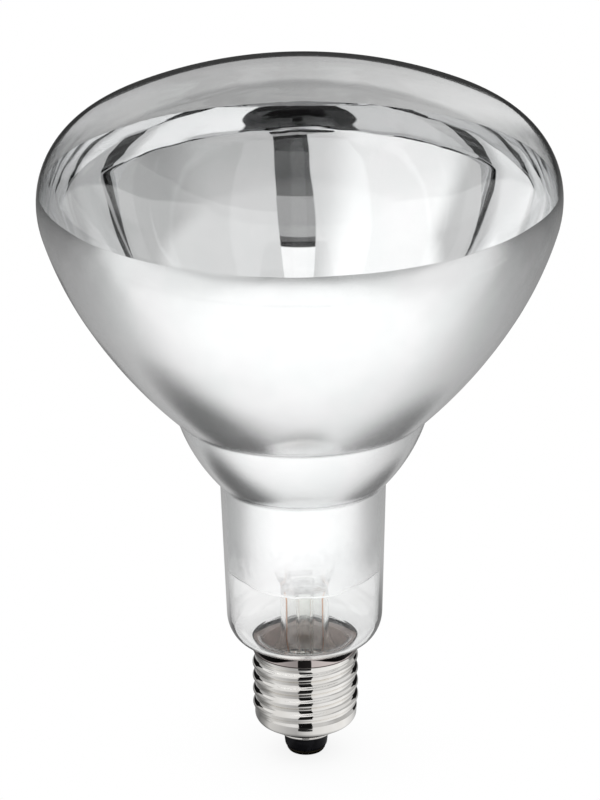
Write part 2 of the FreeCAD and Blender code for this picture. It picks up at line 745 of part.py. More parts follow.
ct = cap_sheet
cone_dir = (lip_r - cone_r, lip_z - cone_z)
cl = math.hypot(*cone_dir)
cone_n = (-cone_dir[1] / cl, cone_dir[0] / cl)
if cone_n[1] > 0:
    cone_n = (-cone_n[0], -cone_n[1])
lip_in = (lip_r - ct * cone_n[0], lip_z - ct * cone_n[1])


knee_z = thread_low - 0.25


def knee(r_side, inset):
    """Round turn from the thread into the cone: an arc tangent to both."""
    base = (cone_r - inset * cone_n[0], cone_z - inset * cone_n[1])
    lo, hi = 0.5, 30.0
    for _ in range(80):
        rr = (lo + hi) / 2
        c = (r_side - rr, knee_z)
        d = (base[0] - c[0]) * cone_n[0] + (base[1] - c[1]) * cone_n[1]
        if d > rr:
            lo = rr
        else:
            hi = rr
    return c, rr, math.atan2(cone_n[1], cone_n[0]), (c[0] + rr * cone_n[0], c[1] + rr * cone_n[1])


k_out = knee(cap_mid, 0.0)
k_in = knee(cap_mid - ct, ct)


def knee_face(k):
    c, rr, a_end, tan = k
    mid = (c[0] + rr * math.cos(a_end / 2), c[1] + rr * math.sin(a_end / 2))
    e = Part.Arc(V(c[0] + rr, 0, c[1]), V(mid[0], 0, mid[1]), V(tan[0], 0, tan[1])).toShape()
    return e.revolve(V(0, 0, 0), V(0, 0, 1), 360).Faces


def ring_edge(r, z):
    return Part.Circle(V(0, 0, z), V(0, 0, 1), r).toShape()


def end_edge(face, z):
    for e in face.Edges:
        if e.isClosed() and abs(e.BoundBox.ZMin - z) < 1e-3 and abs(e.BoundBox.ZMax - z) < 1e-3:
            return e


f_out, f_in = thread_faces()
shell_faces = [
    f_out, f_in,
    Part.makeRuledSurface(end_edge(f_out, thread_top), ring_edge(cap_major, collar_low)),
    Part.makeRuledSurface(end_edge(f_in, thread_top), ring_edge(cap_major - ct, collar_low + 0.1)),
    Part.makeRuledSurface(ring_edge(cap_mid, knee_z), end_edge(f_out, thread_low)),
    Part.makeRuledSurface(ring_edge(cap_mid - ct, knee_z), end_edge(f_in, thread_low)),
]
shell_faces += ring_faces([(cap_major, collar_low), (cap_major, collar_top),
                           (cap_major - ct, collar_top), (cap_major - ct, collar_low + 0.1)])
shell_faces += knee_face(k_out) + knee_face(k_in)
shell_faces += ring_faces([k_out[3], (lip_r, lip_z), lip_in, k_in[3]])
sewn = Part.makeCompound(shell_faces)
sewn.sewShape()
cap_solid = Part.makeSolid(sewn.Shells[0])
if cap_solid.Volume < 0:
    cap_solid.reverse()
cap_shell = doc.addObject("Part::Feature", "cap_shell")
cap_shell.Label = "cap_shell"
cap_shell.Shape = cap_solid
PARTS.append(cap_shell)

# black glass insulator, moulded into the cone and holding the contact
z_i = ins_top
r_i = lip_in[0] + (z_i - lip_in[1]) * (k_in[3][0] - lip_in[0]) / (k_in[3][1] - lip_in[1])
if z_i > k_in[3][1]:
    z_i = k_in[3][1]
    r_i = k_in[3][0]
cell("ins_top_r", r_i)
cell("ins_top_z", z_i)
cell("lip_in_r", lip_in[0])
cell("lip_in_z", lip_in[1])
doc.recompute()
ins = turned("cap_insulator", [
    (ins_hole, ins_low, D("ins_hole"), D("ins_low")),
    (con_r + 0.1, ins_low, D("con_r + 0.1"), D("ins_low")),
    (ins_r, ins_low + 0.6, D("ins_r"), D("ins_low + 0.6")),
    (ins_r + 0.15, lip_z - 1.0, D("ins_r + 0.15"), D("lip_z - 1")),
    (lip_r - 0.25, lip_z - 0.25, D("lip_r - 0.25"), D("lip_z - 0.25")),
    (lip_r, lip_z, D("lip_r"), D("lip_z")),
    (lip_in[0], lip_in[1], D("lip_in_r"), D("lip_in_z")),
    (r_i, z_i, D("ins_top_r"), D("ins_top_z")),
    (ins_hole, z_i, D("ins_hole"), D("ins_top_z")),
])
PARTS.append(ins)

# pressed brass contact with a shallow dish for the solder
con = turned("centre_contact", [
    (ins_hole, con_dish_z, D("ins_hole"), D("con_dish_z")),
    (con_dish, con_dish_z, D("con_dish"), D("con_dish_z")),
    (con_dish + 0.3, 0.0, D("con_dish + 0.3"), "0"),
    (con_face, 0.0, D("con_face"), "0"),
    (con_r, 0.6, D("con_r"), "0.6"),
    (con_r, ins_low, D("con_r"), D("ins_low")),
    (ins_hole, ins_low, D("ins_hole"), D("ins_low")),
])
PARTS.append(con)

# -------------------------------------------------- outer leads, solder, cement
cz = con_dish_z
lead_c = bent_wire("outer_lead_c", [(-lead_x, 0, press_low), (-lead_x, 0, 30.0), (-3.4, 0, 17.0),
                                    (0, 0, 10.5), (0, 0, cz + 0.1)], 2.5, D("out_r"))
lead_c.Label = "outer_lead_centre"
PARTS.append(lead_c)
ry = neck_end_r + 0.05 + out_r
lead_s = bent_wire("outer_lead_s", [(lead_x, 0, press_low), (lead_x, 0, 27.0), (lead_x - 0.6, 6.4, 18.2),
                                    (0.4, ry, 19.6), (0, ry, 27.9), (0, ry + 1.0, 29.0), (0, ry + 1.0, collar_top + 0.2)],
                   0.55, D("out_r"))
lead_s.Label = "outer_lead_side"
PARTS.append(lead_s)

solder_form = turned("contact_solder_form", [
    (0.0, 0.08, None, "0.08"),
    (1.1, 0.2, "1.1", "0.2"),
    (con_dish, con_dish_z, D("con_dish"), D("con_dish_z")),
    (ins_hole, con_dish_z, D("ins_hole"), D("con_dish_z")),
    (ins_hole, ins_low, D("ins_hole"), D("ins_low")),
    (0.0, ins_low, None, D("ins_low")),
])
solder = doc.addObject("Part::Cut", "contact_solder")
solder.Base, solder.Tool = solder_form, lead_c
solder.Label = "contact_solder"
PARTS.append(solder)

dab = doc.addObject("Part::Ellipsoid", "side_solder_form")
dab.Radius1 = 0.55
dab.Radius2 = 1.7
dab.Radius3 = 0.5
dab.Placement = PLACE(V(0, side_y - 0.35, collar_top + 0.05), ROT())
dab.setExpression("Placement.Base.z", D("collar_top + 0.05"))
dab1 = doc.addObject("Part::Cut", "side_solder_cut")
dab1.Base, dab1.Tool = dab, cap_shell
dab2 = doc.addObject("Part::Cut", "side_solder")
dab2.Base, dab2.Tool = dab1, lead_s
dab2.Label = "side_solder"
PARTS.append(dab2)

cem = turned("basing_cement_form", [
    (neck_end_r, cem_low, D("neck_end_r"), D("cem_low")),
    (cem_in_r, cem_low, D("cem_in_r"), D("cem_low")),
    (cem_in_r, cem_step - 0.9, D("cem_in_r"), D("cem_step - 0.9")),
    (cap_mid - ct - 0.05, thread_top - 0.05, D("cap_mid - Dims.cap_sheet - 0.05"), D("thread_top - 0.05")),
    (cem_out_r - 0.09, collar_low + 0.1, D("cem_out_r - 0.09"), D("collar_low + 0.1")),
    (cem_out_r, collar_low + 0.25, D("cem_out_r"), D("collar_low + 0.25")),
    (cem_out_r, cem_high, D("cem_out_r"), D("cem_high")),
    (neck_end_r, cem_high, D("neck_end_r"), D("cem_high")),
])
cement = doc.addObject("Part::Cut", "basing_cement")
cement.Base, cement.Tool = cem, lead_s
cement.Label = "basing_cement"
PARTS.append(cement)

doc.recompute()

# ------------------------------------------------------------ check and write
bad = []
for ob in doc.Objects:
    st = [str(s) for s in ob.State]
    if any(s in ("Invalid", "Error") for s in st):
        bad.append("%s %s" % (ob.Name, st))
names = []
for ob in PARTS:
    sh = ob.Shape
    if sh.isNull() or not sh.isValid() or len(sh.Solids) < 1:
        bad.append("%s shape null=%s" % (ob.Label, sh.isNull()))
    names.append(ob.Label)
if len(set(names)) != len(names):
    bad.append("repeated label")
if bad:
    raise SystemExit("failed: " + "; ".join(bad))
os.makedirs("parts", exist_ok=True)
for ob in PARTS:
    ob.Shape.exportStep("parts/%s.step" % ob.Label)
    print("%-22s solids %d  volume %.2f mm3" % (ob.Label, len(ob.Shape.Solids), ob.Shape.Volume))
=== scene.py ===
import math

import bmesh
import bpy
import numpy as np
from mathutils import Matrix, Vector


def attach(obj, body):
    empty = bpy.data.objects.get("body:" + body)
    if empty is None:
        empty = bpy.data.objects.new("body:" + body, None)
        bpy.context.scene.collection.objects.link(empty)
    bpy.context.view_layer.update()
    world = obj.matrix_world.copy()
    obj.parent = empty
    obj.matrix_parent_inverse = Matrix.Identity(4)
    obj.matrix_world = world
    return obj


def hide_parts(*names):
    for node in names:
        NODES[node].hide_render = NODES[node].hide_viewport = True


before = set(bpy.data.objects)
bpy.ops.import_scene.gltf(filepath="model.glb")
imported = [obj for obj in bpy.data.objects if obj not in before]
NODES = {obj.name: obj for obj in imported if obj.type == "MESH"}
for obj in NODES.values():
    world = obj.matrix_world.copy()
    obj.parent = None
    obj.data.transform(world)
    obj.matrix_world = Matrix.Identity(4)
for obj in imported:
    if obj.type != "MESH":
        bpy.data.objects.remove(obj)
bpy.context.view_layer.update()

MM = 0.001
SCENE = bpy.context.scene


# ------------------------------------------------------------------ mesh help
def make_object(name, verts, faces, mats=None):
    me = bpy.data.meshes.new(name)
    me.from_pydata([tuple(float(c) * MM for c in v) for v in verts], [], faces)
    bm = bmesh.new()
    bm.from_mesh(me)
    bmesh.ops.recalc_face_normals(bm, faces=bm.faces)
    bm.to_mesh(me)
    bm.free()
    me.update()
    me.shade_smooth()
    ob = bpy.data.objects.new(name, me)
    SCENE.collection.objects.link(ob)
    for m in mats or []:
        me.materials.append(m)
    return ob


def ring(r, z, seg):
    a = np.arange(seg) * (2 * np.pi / seg)
    r = np.broadcast_to(np.asarray(r, float), (seg,))
    z = np.broadcast_to(np.asarray(z, float), (seg,))
    return np.stack([r * np.cos(a), r * np.sin(a), z], 1)


def loft(rows, start_pole=None, end_pole=None, close=False):
    """Rings of equal length joined into one skin, with an optional point at each end or joined end to end."""
    seg = len(rows[0])
    verts = np.concatenate(rows, 0).tolist()
    faces = []
    n = len(rows)
    last = n if close else n - 1
    for i in range(last):
        a = i * seg
        b = ((i + 1) % n) * seg
        for j in range(seg):
            k = (j + 1) % seg
            faces.append((a + j, a + k, b + k, b + j))
    if start_pole is not None:
        verts.append(tuple(start_pole))
        p = len(verts) - 1
        for j in range(seg):
            faces.append((p, (j + 1) % seg, j))
    if end_pole is not None:
        verts.append(tuple(end_pole))
        p = len(verts) - 1
        a = (n - 1) * seg
        for j in range(seg):
            faces.append((p, a + j, a + (j + 1) % seg))
    return verts, faces


def rounded(points, radius, steps=6):
    """A closed or open (r, z) profile with its inner corners turned into small arcs."""
    out = [points[0]]
    for i in range(1, len(points) - 1):
        p0, p1, p2 = (np.array(points[i + d], float) for d in (-1, 0, 1))
        u, v = p0 - p1, p2 - p1
        lu, lv = np.linalg.norm(u), np.linalg.norm(v)
        cut = min(radius, 0.45 * lu, 0.45 * lv)
        a, b = p1 + u / lu * cut, p1 + v / lv * cut
        for s in range(steps + 1):
            w = s / steps
            q = a * (1 - w) ** 2 + 2 * p1 * w * (1 - w) + b * w * w
            out.append((float(q[0]), float(q[1])))
    out.append(points[-1])
    return out


def densify(points, step):
    out = [points[0]]
    for p, q in zip(points[:-1], points[1:]):
        n = max(1, int(math.ceil(math.hypot(q[0] - p[0], q[1] - p[1]) / step)))
        for i in range(1, n + 1):
            w = i / n
            out.append((p[0] + (q[0] - p[0]) * w, p[1] + (q[1] - p[1]) * w))
    return out


def smooth01(x):
    x = np.clip(x, 0.0, 1.0)
    return x * x * x * (x * (6 * x - 15) + 10)


# -------------------------------------------------- outline of the blown bulb
def unit(a):
    return (math.cos(a), math.sin(a))


def add(p, q, k=1.0):
    return (p[0] + k * q[0], p[1] + k * q[1])


def angle_of(p, c):
    return math.atan2(p[1] - c[1], p[0] - c[0])


WALL = 0.9
R_WIDE, Z_WIDE = 62.916, 146.431
RIM_UP, RIM_UP2, RIM_DN = 20.439, 24.112, 22.740
BOWL_A, BOWL_B, BULGE = 91.791, 127.578, 44.156
SH_A, SH_B = 8.776, 5.843
FIL_NECK, FIL_BULGE, FIL_GROOVE = 1.2, 2.0, 2.6
c_up = (R_WIDE - RIM_UP, Z_WIDE)
p_up = add(c_up, unit(0.965), RIM_UP)
c_up2 = add(p_up, unit(0.965), -RIM_UP2)
p_up2 = add(c_up2, unit(1.115), RIM_UP2)
DOME = p_up2[0] / math.cos(1.115)
c_dome = (0.0, p_up2[1] - DOME * math.sin(1.115))
z_top = c_dome[1] + DOME
c_dn = (R_WIDE - RIM_DN, Z_WIDE)
p_dn = add(c_dn, unit(-0.292), RIM_DN)
c_ba = add(p_dn, unit(-0.292), -BOWL_A)
p_ba = add(c_ba, unit(-0.540), BOWL_A)
c_bb = add(p_ba, unit(-0.540), -BOWL_B)
g_pt = add(c_bb, unit(-0.816), BOWL_B)
ang_nk = -math.atan(0.0309)
c_sa = (10.440, 38.220)
p_sa = add(c_sa, unit(ang_nk), SH_A)
k_pt = (p_sa[0] + 0.0309 * (73.597 - p_sa[1]), 73.597)
p_sb = add(c_sa, unit(-0.551), SH_A)
c_sb = add(p_sb, unit(-0.551), -SH_B)
z_under = c_sb[1] - SH_B
dx, dz = g_pt[0] - k_pt[0], g_pt[1] - k_pt[1]
ln = math.hypot(dx, dz)
hh = math.sqrt(BULGE * BULGE - ln * ln / 4.0)
c_bu = ((g_pt[0] + k_pt[0]) / 2 - dz / ln * hh, (g_pt[1] + k_pt[1]) / 2 + dx / ln * hh)
f_nk = (11.2 + FIL_NECK, z_under - FIL_NECK)
nn = unit(ang_nk)


def fillet_line_circle(p0, n, c, rr, f, guess):
    z = guess
    for _ in range(60):
        r = p0[0] + (f - (z - p0[1]) * n[1]) / n[0]
        e = math.hypot(r - c[0], z - c[1]) - (rr + f)
        z2 = z + 1e-6
        r2 = p0[0] + (f - (z2 - p0[1]) * n[1]) / n[0]
        e2 = math.hypot(r2 - c[0], z2 - c[1]) - (rr + f)
        z -= e / ((e2 - e) / 1e-6)
    return (p0[0] + (f - (z - p0[1]) * n[1]) / n[0], z)


def circles_meet(c0, r0, c1, r1, near):
    d = math.hypot(c1[0] - c0[0], c1[1] - c0[1])
    a = (r0 * r0 - r1 * r1 + d * d) / (2 * d)
    h = math.sqrt(r0 * r0 - a * a)
    ex = ((c1[0] - c0[0]) / d, (c1[1] - c0[1]) / d)
    m = add(c0, ex, a)
    best = None
    for sgn in (1, -1):
        q = (m[0] - sgn * ex[1] * h, m[1] + sgn * ex[0] * h)
        e = math.hypot(q[0] - near[0], q[1] - near[1])
        if best is None or e < best[0]:
            best = (e, q)
    return best[1]


f_bu = fillet_line_circle(k_pt, nn, c_bu, BULGE, FIL_BULGE, k_pt[1] - 0.8)
k_lo = add(f_bu, nn, -FIL_BULGE)
k_hi = add(c_bu, unit(angle_of(f_bu, c_bu)), BULGE)
f_gr = circles_meet(c_bu, BULGE + FIL_GROOVE, c_bb, BOWL_B + FIL_GROOVE, g_pt)
g_lo = add(c_bu, unit(angle_of(f_gr, c_bu)), BULGE)
g_hi = add(c_bb, unit(angle_of(f_gr, c_bb)), BOWL_B)
OUT = [
    ((11.2, 21.5), None, 0),
    ((11.2, f_nk[1]), f_nk, -1),
    ((f_nk[0], z_under), None, 0),
    ((c_sb[0], z_under), c_sb, 1),
    (p_sb, c_sa, 1),
    (p_sa, None, 0),
    (k_lo, f_bu, -1),
    (k_hi, c_bu, 1),
    (g_lo, f_gr, -1),
    (g_hi, c_bb, 1),
    (p_ba, c_ba, 1),
    (p_dn, c_dn, 1),
    ((R_WIDE, Z_WIDE), c_up, 1),
    (p_up, c_up2, 1),
    (p_up2, c_dome, 1),
    ((0.0, z_top), None, 0),
]


def outline(step, turn):
    """Points up the outside of the bulb as rows of r, z and the outward normal."""
    rows = []
    for (p, c, sgn), (q, _, _) in zip(OUT[:-1], OUT[1:]):
        if c is None:
            d = math.hypot(q[0] - p[0], q[1] - p[1])
            n = max(1, int(math.ceil(d / step)))
            nx, nz = (q[1] - p[1]) / d, -(q[0] - p[0]) / d
            for i in range(n):
                w = i / n
                rows.append((p[0] + (q[0] - p[0]) * w, p[1] + (q[1] - p[1]) * w, nx, nz))
        else:
            a0, a1 = angle_of(p, c), angle_of(q, c)
            while a1 - a0 > math.pi:
                a1 -= 2 * math.pi
            while a1 - a0 < -math.pi:
                a1 += 2 * math.pi
            rad = math.hypot(p[0] - c[0], p[1] - c[1])
            n = max(3, int(math.ceil(rad * abs(a1 - a0) / step)), int(math.ceil(abs(a1 - a0) / turn)))
            for i in range(n):
                a = a0 + (a1 - a0) * i / n
                u = unit(a)
                rows.append((c[0] + rad * u[0], c[1] + rad * u[1], sgn * u[0], sgn * u[1]))
    rows.append((0.0, z_top, 0.0, 1.0))
    pts = np.array(rows)
    # a hair inside the frame's faceted bulb
    pts[:, 0] *= 0.9996
    return pts


def wall_ripple(theta, z):
    """Small changes in the blown wall's thickness, in mm, slow round the bulb and stronger near the rim."""
    rim = np.exp(-((z - 144.0) / 9.0) ** 2)
    top = smooth01((z - 150.0) / 20.0)
    low = smooth01((z - 40.0) / 20.0)
    slow = 0.5 * np.sin(3 * theta + 0.055 * z + 0.4) + 0.35 * np.sin(5 * theta - 0.081 * z + 2.1)
    mid = 0.5 * np.sin(11 * theta + 0.13 * z) + 0.4 * np.sin(17 * theta - 0.19 * z + 1.3)
    fast = 0.5 * np.sin(29 * theta + 0.41 * z + 0.7) + 0.5 * np.sin(43 * theta - 0.55 * z + 2.6)
    spin = 0.5 * np.sin(2.7 * z + 0.3 * np.sin(2 * theta)) + 0.5 * np.sin(4.3 * z + 1.1 + 0.4 * np.sin(theta))
    slow = slow + 0.10 * spin * np.exp(-((z - 88.0) / 12.0) ** 2)
    return low * (0.035 * slow * (1 - top) + 0.008 * mid * (1 - top) + rim * (0.042 * mid + 0.022 * fast))


# ------------------------------------------------------------ material helpers
def mat_new(name):
    m = bpy.data.materials.new(name)
    m.use_nodes = True
    nt = m.node_tree
    bsdf = next(n for n in nt.nodes if n.type == "BSDF_PRINCIPLED")
    return m, nt, bsdf


def nd(nt, kind, **props):
    n = nt.nodes.new(kind)
    for k, v in props.items():
        setattr(n, k, v)
    return n


def coords(nt, scale=(1, 1, 1)):
    tc = nd(nt, "ShaderNodeTexCoord")
    mp = nd(nt, "ShaderNodeMapping")
    mp.inputs["Scale"].default_value = scale
    nt.links.new(tc.outputs["Object"], mp.inputs["Vector"])
    return mp.outputs["Vector"]


def noise(nt, vec, scale, detail=4.0, rough=0.5, distort=0.0):
    n = nd(nt, "ShaderNodeTexNoise")
    n.inputs["Scale"].default_value = scale
    n.inputs["Detail"].default_value = detail
    n.inputs["Roughness"].default_value = rough
    n.inputs["Distortion"].default_value = distort
    nt.links.new(vec, n.inputs["Vector"])
    return n.outputs["Fac"]


def ramp_range(nt, fac, a, b, lo, hi, smooth=True):
    n = nd(nt, "ShaderNodeMapRange")
    n.interpolation_type = "SMOOTHSTEP" if smooth else "LINEAR"
    n.inputs["From Min"].default_value = a
    n.inputs["From Max"].default_value = b
    n.inputs["To Min"].default_value = lo
    n.inputs["To Max"].default_value = hi
    nt.links.new(fac, n.inputs["Value"])
    return n.outputs["Result"]


def mix_col(nt, fac, c0, c1):
    n = nd(nt, "ShaderNodeMix", data_type="RGBA")
    for sock, c in ((n.inputs[6], c0), (n.inputs[7], c1)):
        if isinstance(c, (tuple, list)):
            sock.default_value = tuple(c) + ((1.0,) if len(c) == 3 else ())
        else:
            nt.links.new(c, sock)
    nt.links.new(fac, n.inputs[0])
    return n.outputs[2]


def math_node(nt, op, a, b=None):
    n = nd(nt, "ShaderNodeMath", operation=op)
    for i, v in enumerate((a, b)):
        if v is None:
            continue
        if isinstance(v, (int, float)):
            n.inputs[i].default_value = v
        else:
            nt.links.new(v, n.inputs[i])
    return n.outputs[0]


def bump(nt, bsdf, height, strength, distance):
    b = nd(nt, "ShaderNodeBump")
    b.inputs["Strength"].default_value = strength
    b.inputs["Distance"].default_value = distance
    nt.links.new(height, b.inputs["Height"])
    nt.links.new(b.outputs["Normal"], bsdf.inputs["Normal"])


def cylinder_coords(nt, around, along):
    """Angle and height as texture coordinates, stretched separately."""
    tc = nd(nt, "ShaderNodeTexCoord")
    sx = nd(nt, "ShaderNodeSeparateXYZ")
    nt.links.new(tc.outputs["Object"], sx.inputs[0])
    th = math_node(nt, "ARCTAN2", sx.outputs[1], sx.outputs[0])
    cx = nd(nt, "ShaderNodeCombineXYZ")
    nt.links.new(math_node(nt, "MULTIPLY", math_node(nt, "COSINE", th), around), cx.inputs[0])
    nt.links.new(math_node(nt, "MULTIPLY", math_node(nt, "SINE", th), around), cx.inputs[1])
    nt.links.new(math_node(nt, "MULTIPLY", sx.outputs[2], along), cx.inputs[2])
    return cx.outputs[0], sx.outputs[2], th


def metal(name, c0, c1, r0, r1, scale, bump_d, stretch=(1, 1, 1), metallic=1.0):
    m, nt, b = mat_new(name)
    v = coords(nt, stretch)
    big = noise(nt, v, scale, 5.0, 0.55)
    fine = noise(nt, v, scale * 6.0, 4.0, 0.6)
    nt.links.new(mix_col(nt, ramp_range(nt, big, 0.3, 0.7, 0, 1), c0, c1), b.inputs["Base Color"])
    nt.links.new(ramp_range(nt, fine, 0.25, 0.75, r0, r1), b.inputs["Roughness"])
    b.inputs["Metallic"].default_value = metallic
    bump(nt, b, fine, 0.5, bump_d)
    return m


# ----------------------------------------------------------------- materials
def glass_material(name, tint, tint2, ior, bump_d):
    m, nt, b = mat_new(name)
    v = coords(nt)
    streak = noise(nt, coords(nt, (1, 1, 0.35)), 60.0, 3.0, 0.5, 0.4)
    nt.links.new(mix_col(nt, ramp_range(nt, streak, 0.35, 0.65, 0, 1), tint, tint2), b.inputs["Base Color"])
    b.inputs["Transmission Weight"].default_value = 1.0
    b.inputs["Roughness"].default_value = 0.0
    b.inputs["IOR"].default_value = ior
    bump(nt, b, streak, 0.15, bump_d)
    return m


M_GLASS = glass_material("blown_clear_glass", (1.0, 1.0, 1.0), (0.985, 0.992, 0.99), 1.5, 0.00006)
M_STEM = glass_material("stem_clear_glass", (0.985, 0.985, 0.975), (0.95, 0.96, 0.945), 1.54, 0.00003)


def film_material(name, c0, c1, r0, r1, thins=True):
    m, nt, b = mat_new(name)
    v = coords(nt)
    cloud = noise(nt, v, 55.0, 5.0, 0.55)
    col = mix_col(nt, ramp_range(nt, cloud, 0.3, 0.7, 0, 1), c0, c1)
    nt.links.new(col, b.inputs["Base Color"])
    nt.links.new(ramp_range(nt, cloud, 0.3, 0.7, r0, r1), b.inputs["Roughness"])
    b.inputs["Metallic"].default_value = 1.0
    if not thins:
        return m
    # the deposit thins out towards its lower edge in the neck
    tc = nd(nt, "ShaderNodeTexCoord")
    sx = nd(nt, "ShaderNodeSeparateXYZ")
    nt.links.new(tc.outputs["Object"], sx.inputs[0])
    blot = noise(nt, coords(nt, (1, 1, 0.6)), 380.0, 5.0, 0.65, 0.8)
    h = math_node(nt, "ADD", sx.outputs[2], math_node(nt, "MULTIPLY", math_node(nt, "SUBTRACT", blot, 0.5), 0.016))
    grow = ramp_range(nt, h, 0.0500, 0.0630, 0.34, 1.0)
    nt.links.new(grow, b.inputs["Alpha"])
    return m


M_FILM_OUT = film_material("mirror_film_outside", (0.93, 0.932, 0.935), (0.89, 0.893, 0.897), 0.19, 0.25)
M_FILM_IN = film_material("mirror_film_inside", (0.95, 0.952, 0.955), (0.925, 0.928, 0.932), 0.012, 0.03)

M_FILM_LIP = film_material("mirror_film_lip", (0.97, 0.97, 0.97), (0.92, 0.92, 0.92), 0.28, 0.45, False)

M_SEAL = metal("copper_clad_wire", (0.62, 0.42, 0.35), (0.50, 0.30, 0.24), 0.28, 0.5, 700.0, 0.00001, (1, 1, 0.3))
M_NICKEL = metal("drawn_nickel_wire", (0.70, 0.67, 0.61), (0.58, 0.55, 0.50), 0.16, 0.34, 900.0, 0.000012, (1, 1, 0.15))
M_MOLY = metal("drawn_molybdenum_wire", (0.56, 0.56, 0.58), (0.44, 0.44, 0.47), 0.22, 0.42, 1200.0, 0.00001, (1, 1, 0.5))
M_TUNG = metal("coiled_tungsten_wire", (0.36, 0.36, 0.38), (0.24, 0.24, 0.26), 0.25, 0.45, 1500.0, 0.000008)
M_COPPER = metal("copper_lead_wire", (0.80, 0.45, 0.28), (0.62, 0.30, 0.17), 0.22, 0.45, 900.0, 0.00001, (1, 1, 0.3))
M_SOLDER = metal("soft_solder", (0.70, 0.71, 0.73), (0.50, 0.51, 0.53), 0.18, 0.42, 1300.0, 0.00006)


def cap_material():
    m, nt, b = mat_new("nickel_plated_cap")
    vec, z, th = cylinder_coords(nt, 1.0, 900.0)
    roll = noise(nt, vec, 3.0, 5.0, 0.55)
    patch = noise(nt, coords(nt), 180.0, 5.0, 0.6)
    fine = noise(nt, coords(nt), 3800.0, 3.0, 0.6)
    col = mix_col(nt, ramp_range(nt, patch, 0.3, 0.72, 0, 1), (0.93, 0.915, 0.89), (0.85, 0.83, 0.795))
    # the collar band is tinted a darker brown: the brown hue stands for heat tint from baking the cement, and the
    # darkening is painted shade standing in for its dark reflections
    heat_tint_and_shade = math_node(nt, "ADD", z, math_node(nt, "MULTIPLY", patch, 0.0007))
    heat_tint_and_shade = ramp_range(nt, heat_tint_and_shade, 0.0281, 0.0284, 0.0, 0.9)
    tint = nd(nt, "ShaderNodeMix", data_type="RGBA")
    nt.links.new(heat_tint_and_shade, tint.inputs[0])
    nt.links.new(col, tint.inputs[6])
    tint.inputs[7].default_value = (0.60, 0.525, 0.51, 1)
    # painted shade: the collar's rim is painted near black for the shadowed gap under the glass shoulder, and the band
    # reaches lower at four places round it
    rim_shade_height = math_node(nt, "ADD", z, math_node(nt, "MULTIPLY", math_node(nt, "SUBTRACT", patch, 0.5), 0.0005))
    lobe = math_node(nt, "SINE", math_node(nt, "MULTIPLY", th, 2.0))
    rim_shade_height = math_node(nt, "ADD", rim_shade_height, math_node(nt, "MULTIPLY", math_node(nt, "MULTIPLY", lobe, lobe), 0.0018))
    rim = nd(nt, "ShaderNodeMix", data_type="RGBA")
    nt.links.new(ramp_range(nt, rim_shade_height, 0.03030, 0.03050, 0.0, 1.0), rim.inputs[0])
    nt.links.new(tint.outputs[2], rim.inputs[6])
    rim.inputs[7].default_value = (0.003, 0.0025, 0.0025, 1)
    # painted shadow: a dark line along the collar's lower edge, where it steps out over the thread
    step = math_node(nt, "MULTIPLY", ramp_range(nt, z, 0.02786, 0.02794, 0.0, 0.93), ramp_range(nt, z, 0.02836, 0.02848, 1.0, 0.0))
    step_shadow = nd(nt, "ShaderNodeMix", data_type="RGBA")
    nt.links.new(step, step_shadow.inputs[0])
    nt.links.new(rim.outputs[2], step_shadow.inputs[6])
    step_shadow.inputs[7].default_value = (0.07, 0.055, 0.05, 1)
    nt.links.new(step_shadow.outputs[2], b.inputs["Base Color"])
    b.inputs["Metallic"].default_value = 1.0
    ro = math_node(nt, "ADD", ramp_range(nt, patch, 0.35, 0.75, 0.025, 0.075), ramp_range(nt, roll, 0.3, 0.7, -0.01, 0.015))
    nt.links.new(ro, b.inputs["Roughness"])
    h = math_node(nt, "ADD", math_node(nt, "MULTIPLY", roll, 0.3), math_node(nt, "MULTIPLY", fine, 0.25))
    bump(nt, b, h, 0.10, 0.000006)
    return m


M_CAP = cap_material()


def contact_material():
    m, nt, b = mat_new("pressed_brass")
    v = coords(nt)
    big = noise(nt, v, 900.0, 5.0, 0.55)
    fine = noise(nt, v, 5400.0, 4.0, 0.6)
    col = mix_col(nt, ramp_range(nt, big, 0.3, 0.7, 0, 1), (0.78, 0.62, 0.36), (0.60, 0.45, 0.24))
    # painted shade: the disc's side above its lowest 0.3 mm is painted near black as the shade under the cap
    tc = nd(nt, "ShaderNodeTexCoord")
    sx = nd(nt, "ShaderNodeSeparateXYZ")
    nt.links.new(tc.outputs["Object"], sx.inputs[0])
    scale = ramp_range(nt, math_node(nt, "ADD", sx.outputs[2], math_node(nt, "MULTIPLY", big, 0.0002)), 0.00012, 0.00032, 0.0, 0.97)
    side_shade = nd(nt, "ShaderNodeMix", data_type="RGBA")
    nt.links.new(scale, side_shade.inputs[0])
    nt.links.new(col, side_shade.inputs[6])
    side_shade.inputs[7].default_value = (0.02, 0.017, 0.014, 1)
    nt.links.new(side_shade.outputs[2], b.inputs["Base Color"])
    nt.links.new(ramp_range(nt, fine, 0.25, 0.75, 0.18, 0.4), b.inputs["Roughness"])
    b.inputs["Metallic"].default_value = 1.0
    bump(nt, b, fine, 0.5, 0.00002)
    return m


M_BRASS = contact_material()


def insulator_material():
    m, nt, b = mat_new("black_fused_glass")
    v = coords(nt)
    swirl = noise(nt, v, 350.0, 5.0, 0.55, 1.2)
    pits = noise(nt, v, 2600.0, 3.0, 0.6)
    nt.links.new(mix_col(nt, ramp_range(nt, swirl, 0.35, 0.7, 0, 1), (0.003, 0.003, 0.004), (0.008, 0.008, 0.010)), b.inputs["Base Color"])
    nt.links.new(ramp_range(nt, pits, 0.3, 0.75, 0.10, 0.30), b.inputs["Roughness"])
    b.inputs["IOR"].default_value = 1.2
    bump(nt, b, pits, 0.3, 0.00003)
    return m


M_INS = insulator_material()


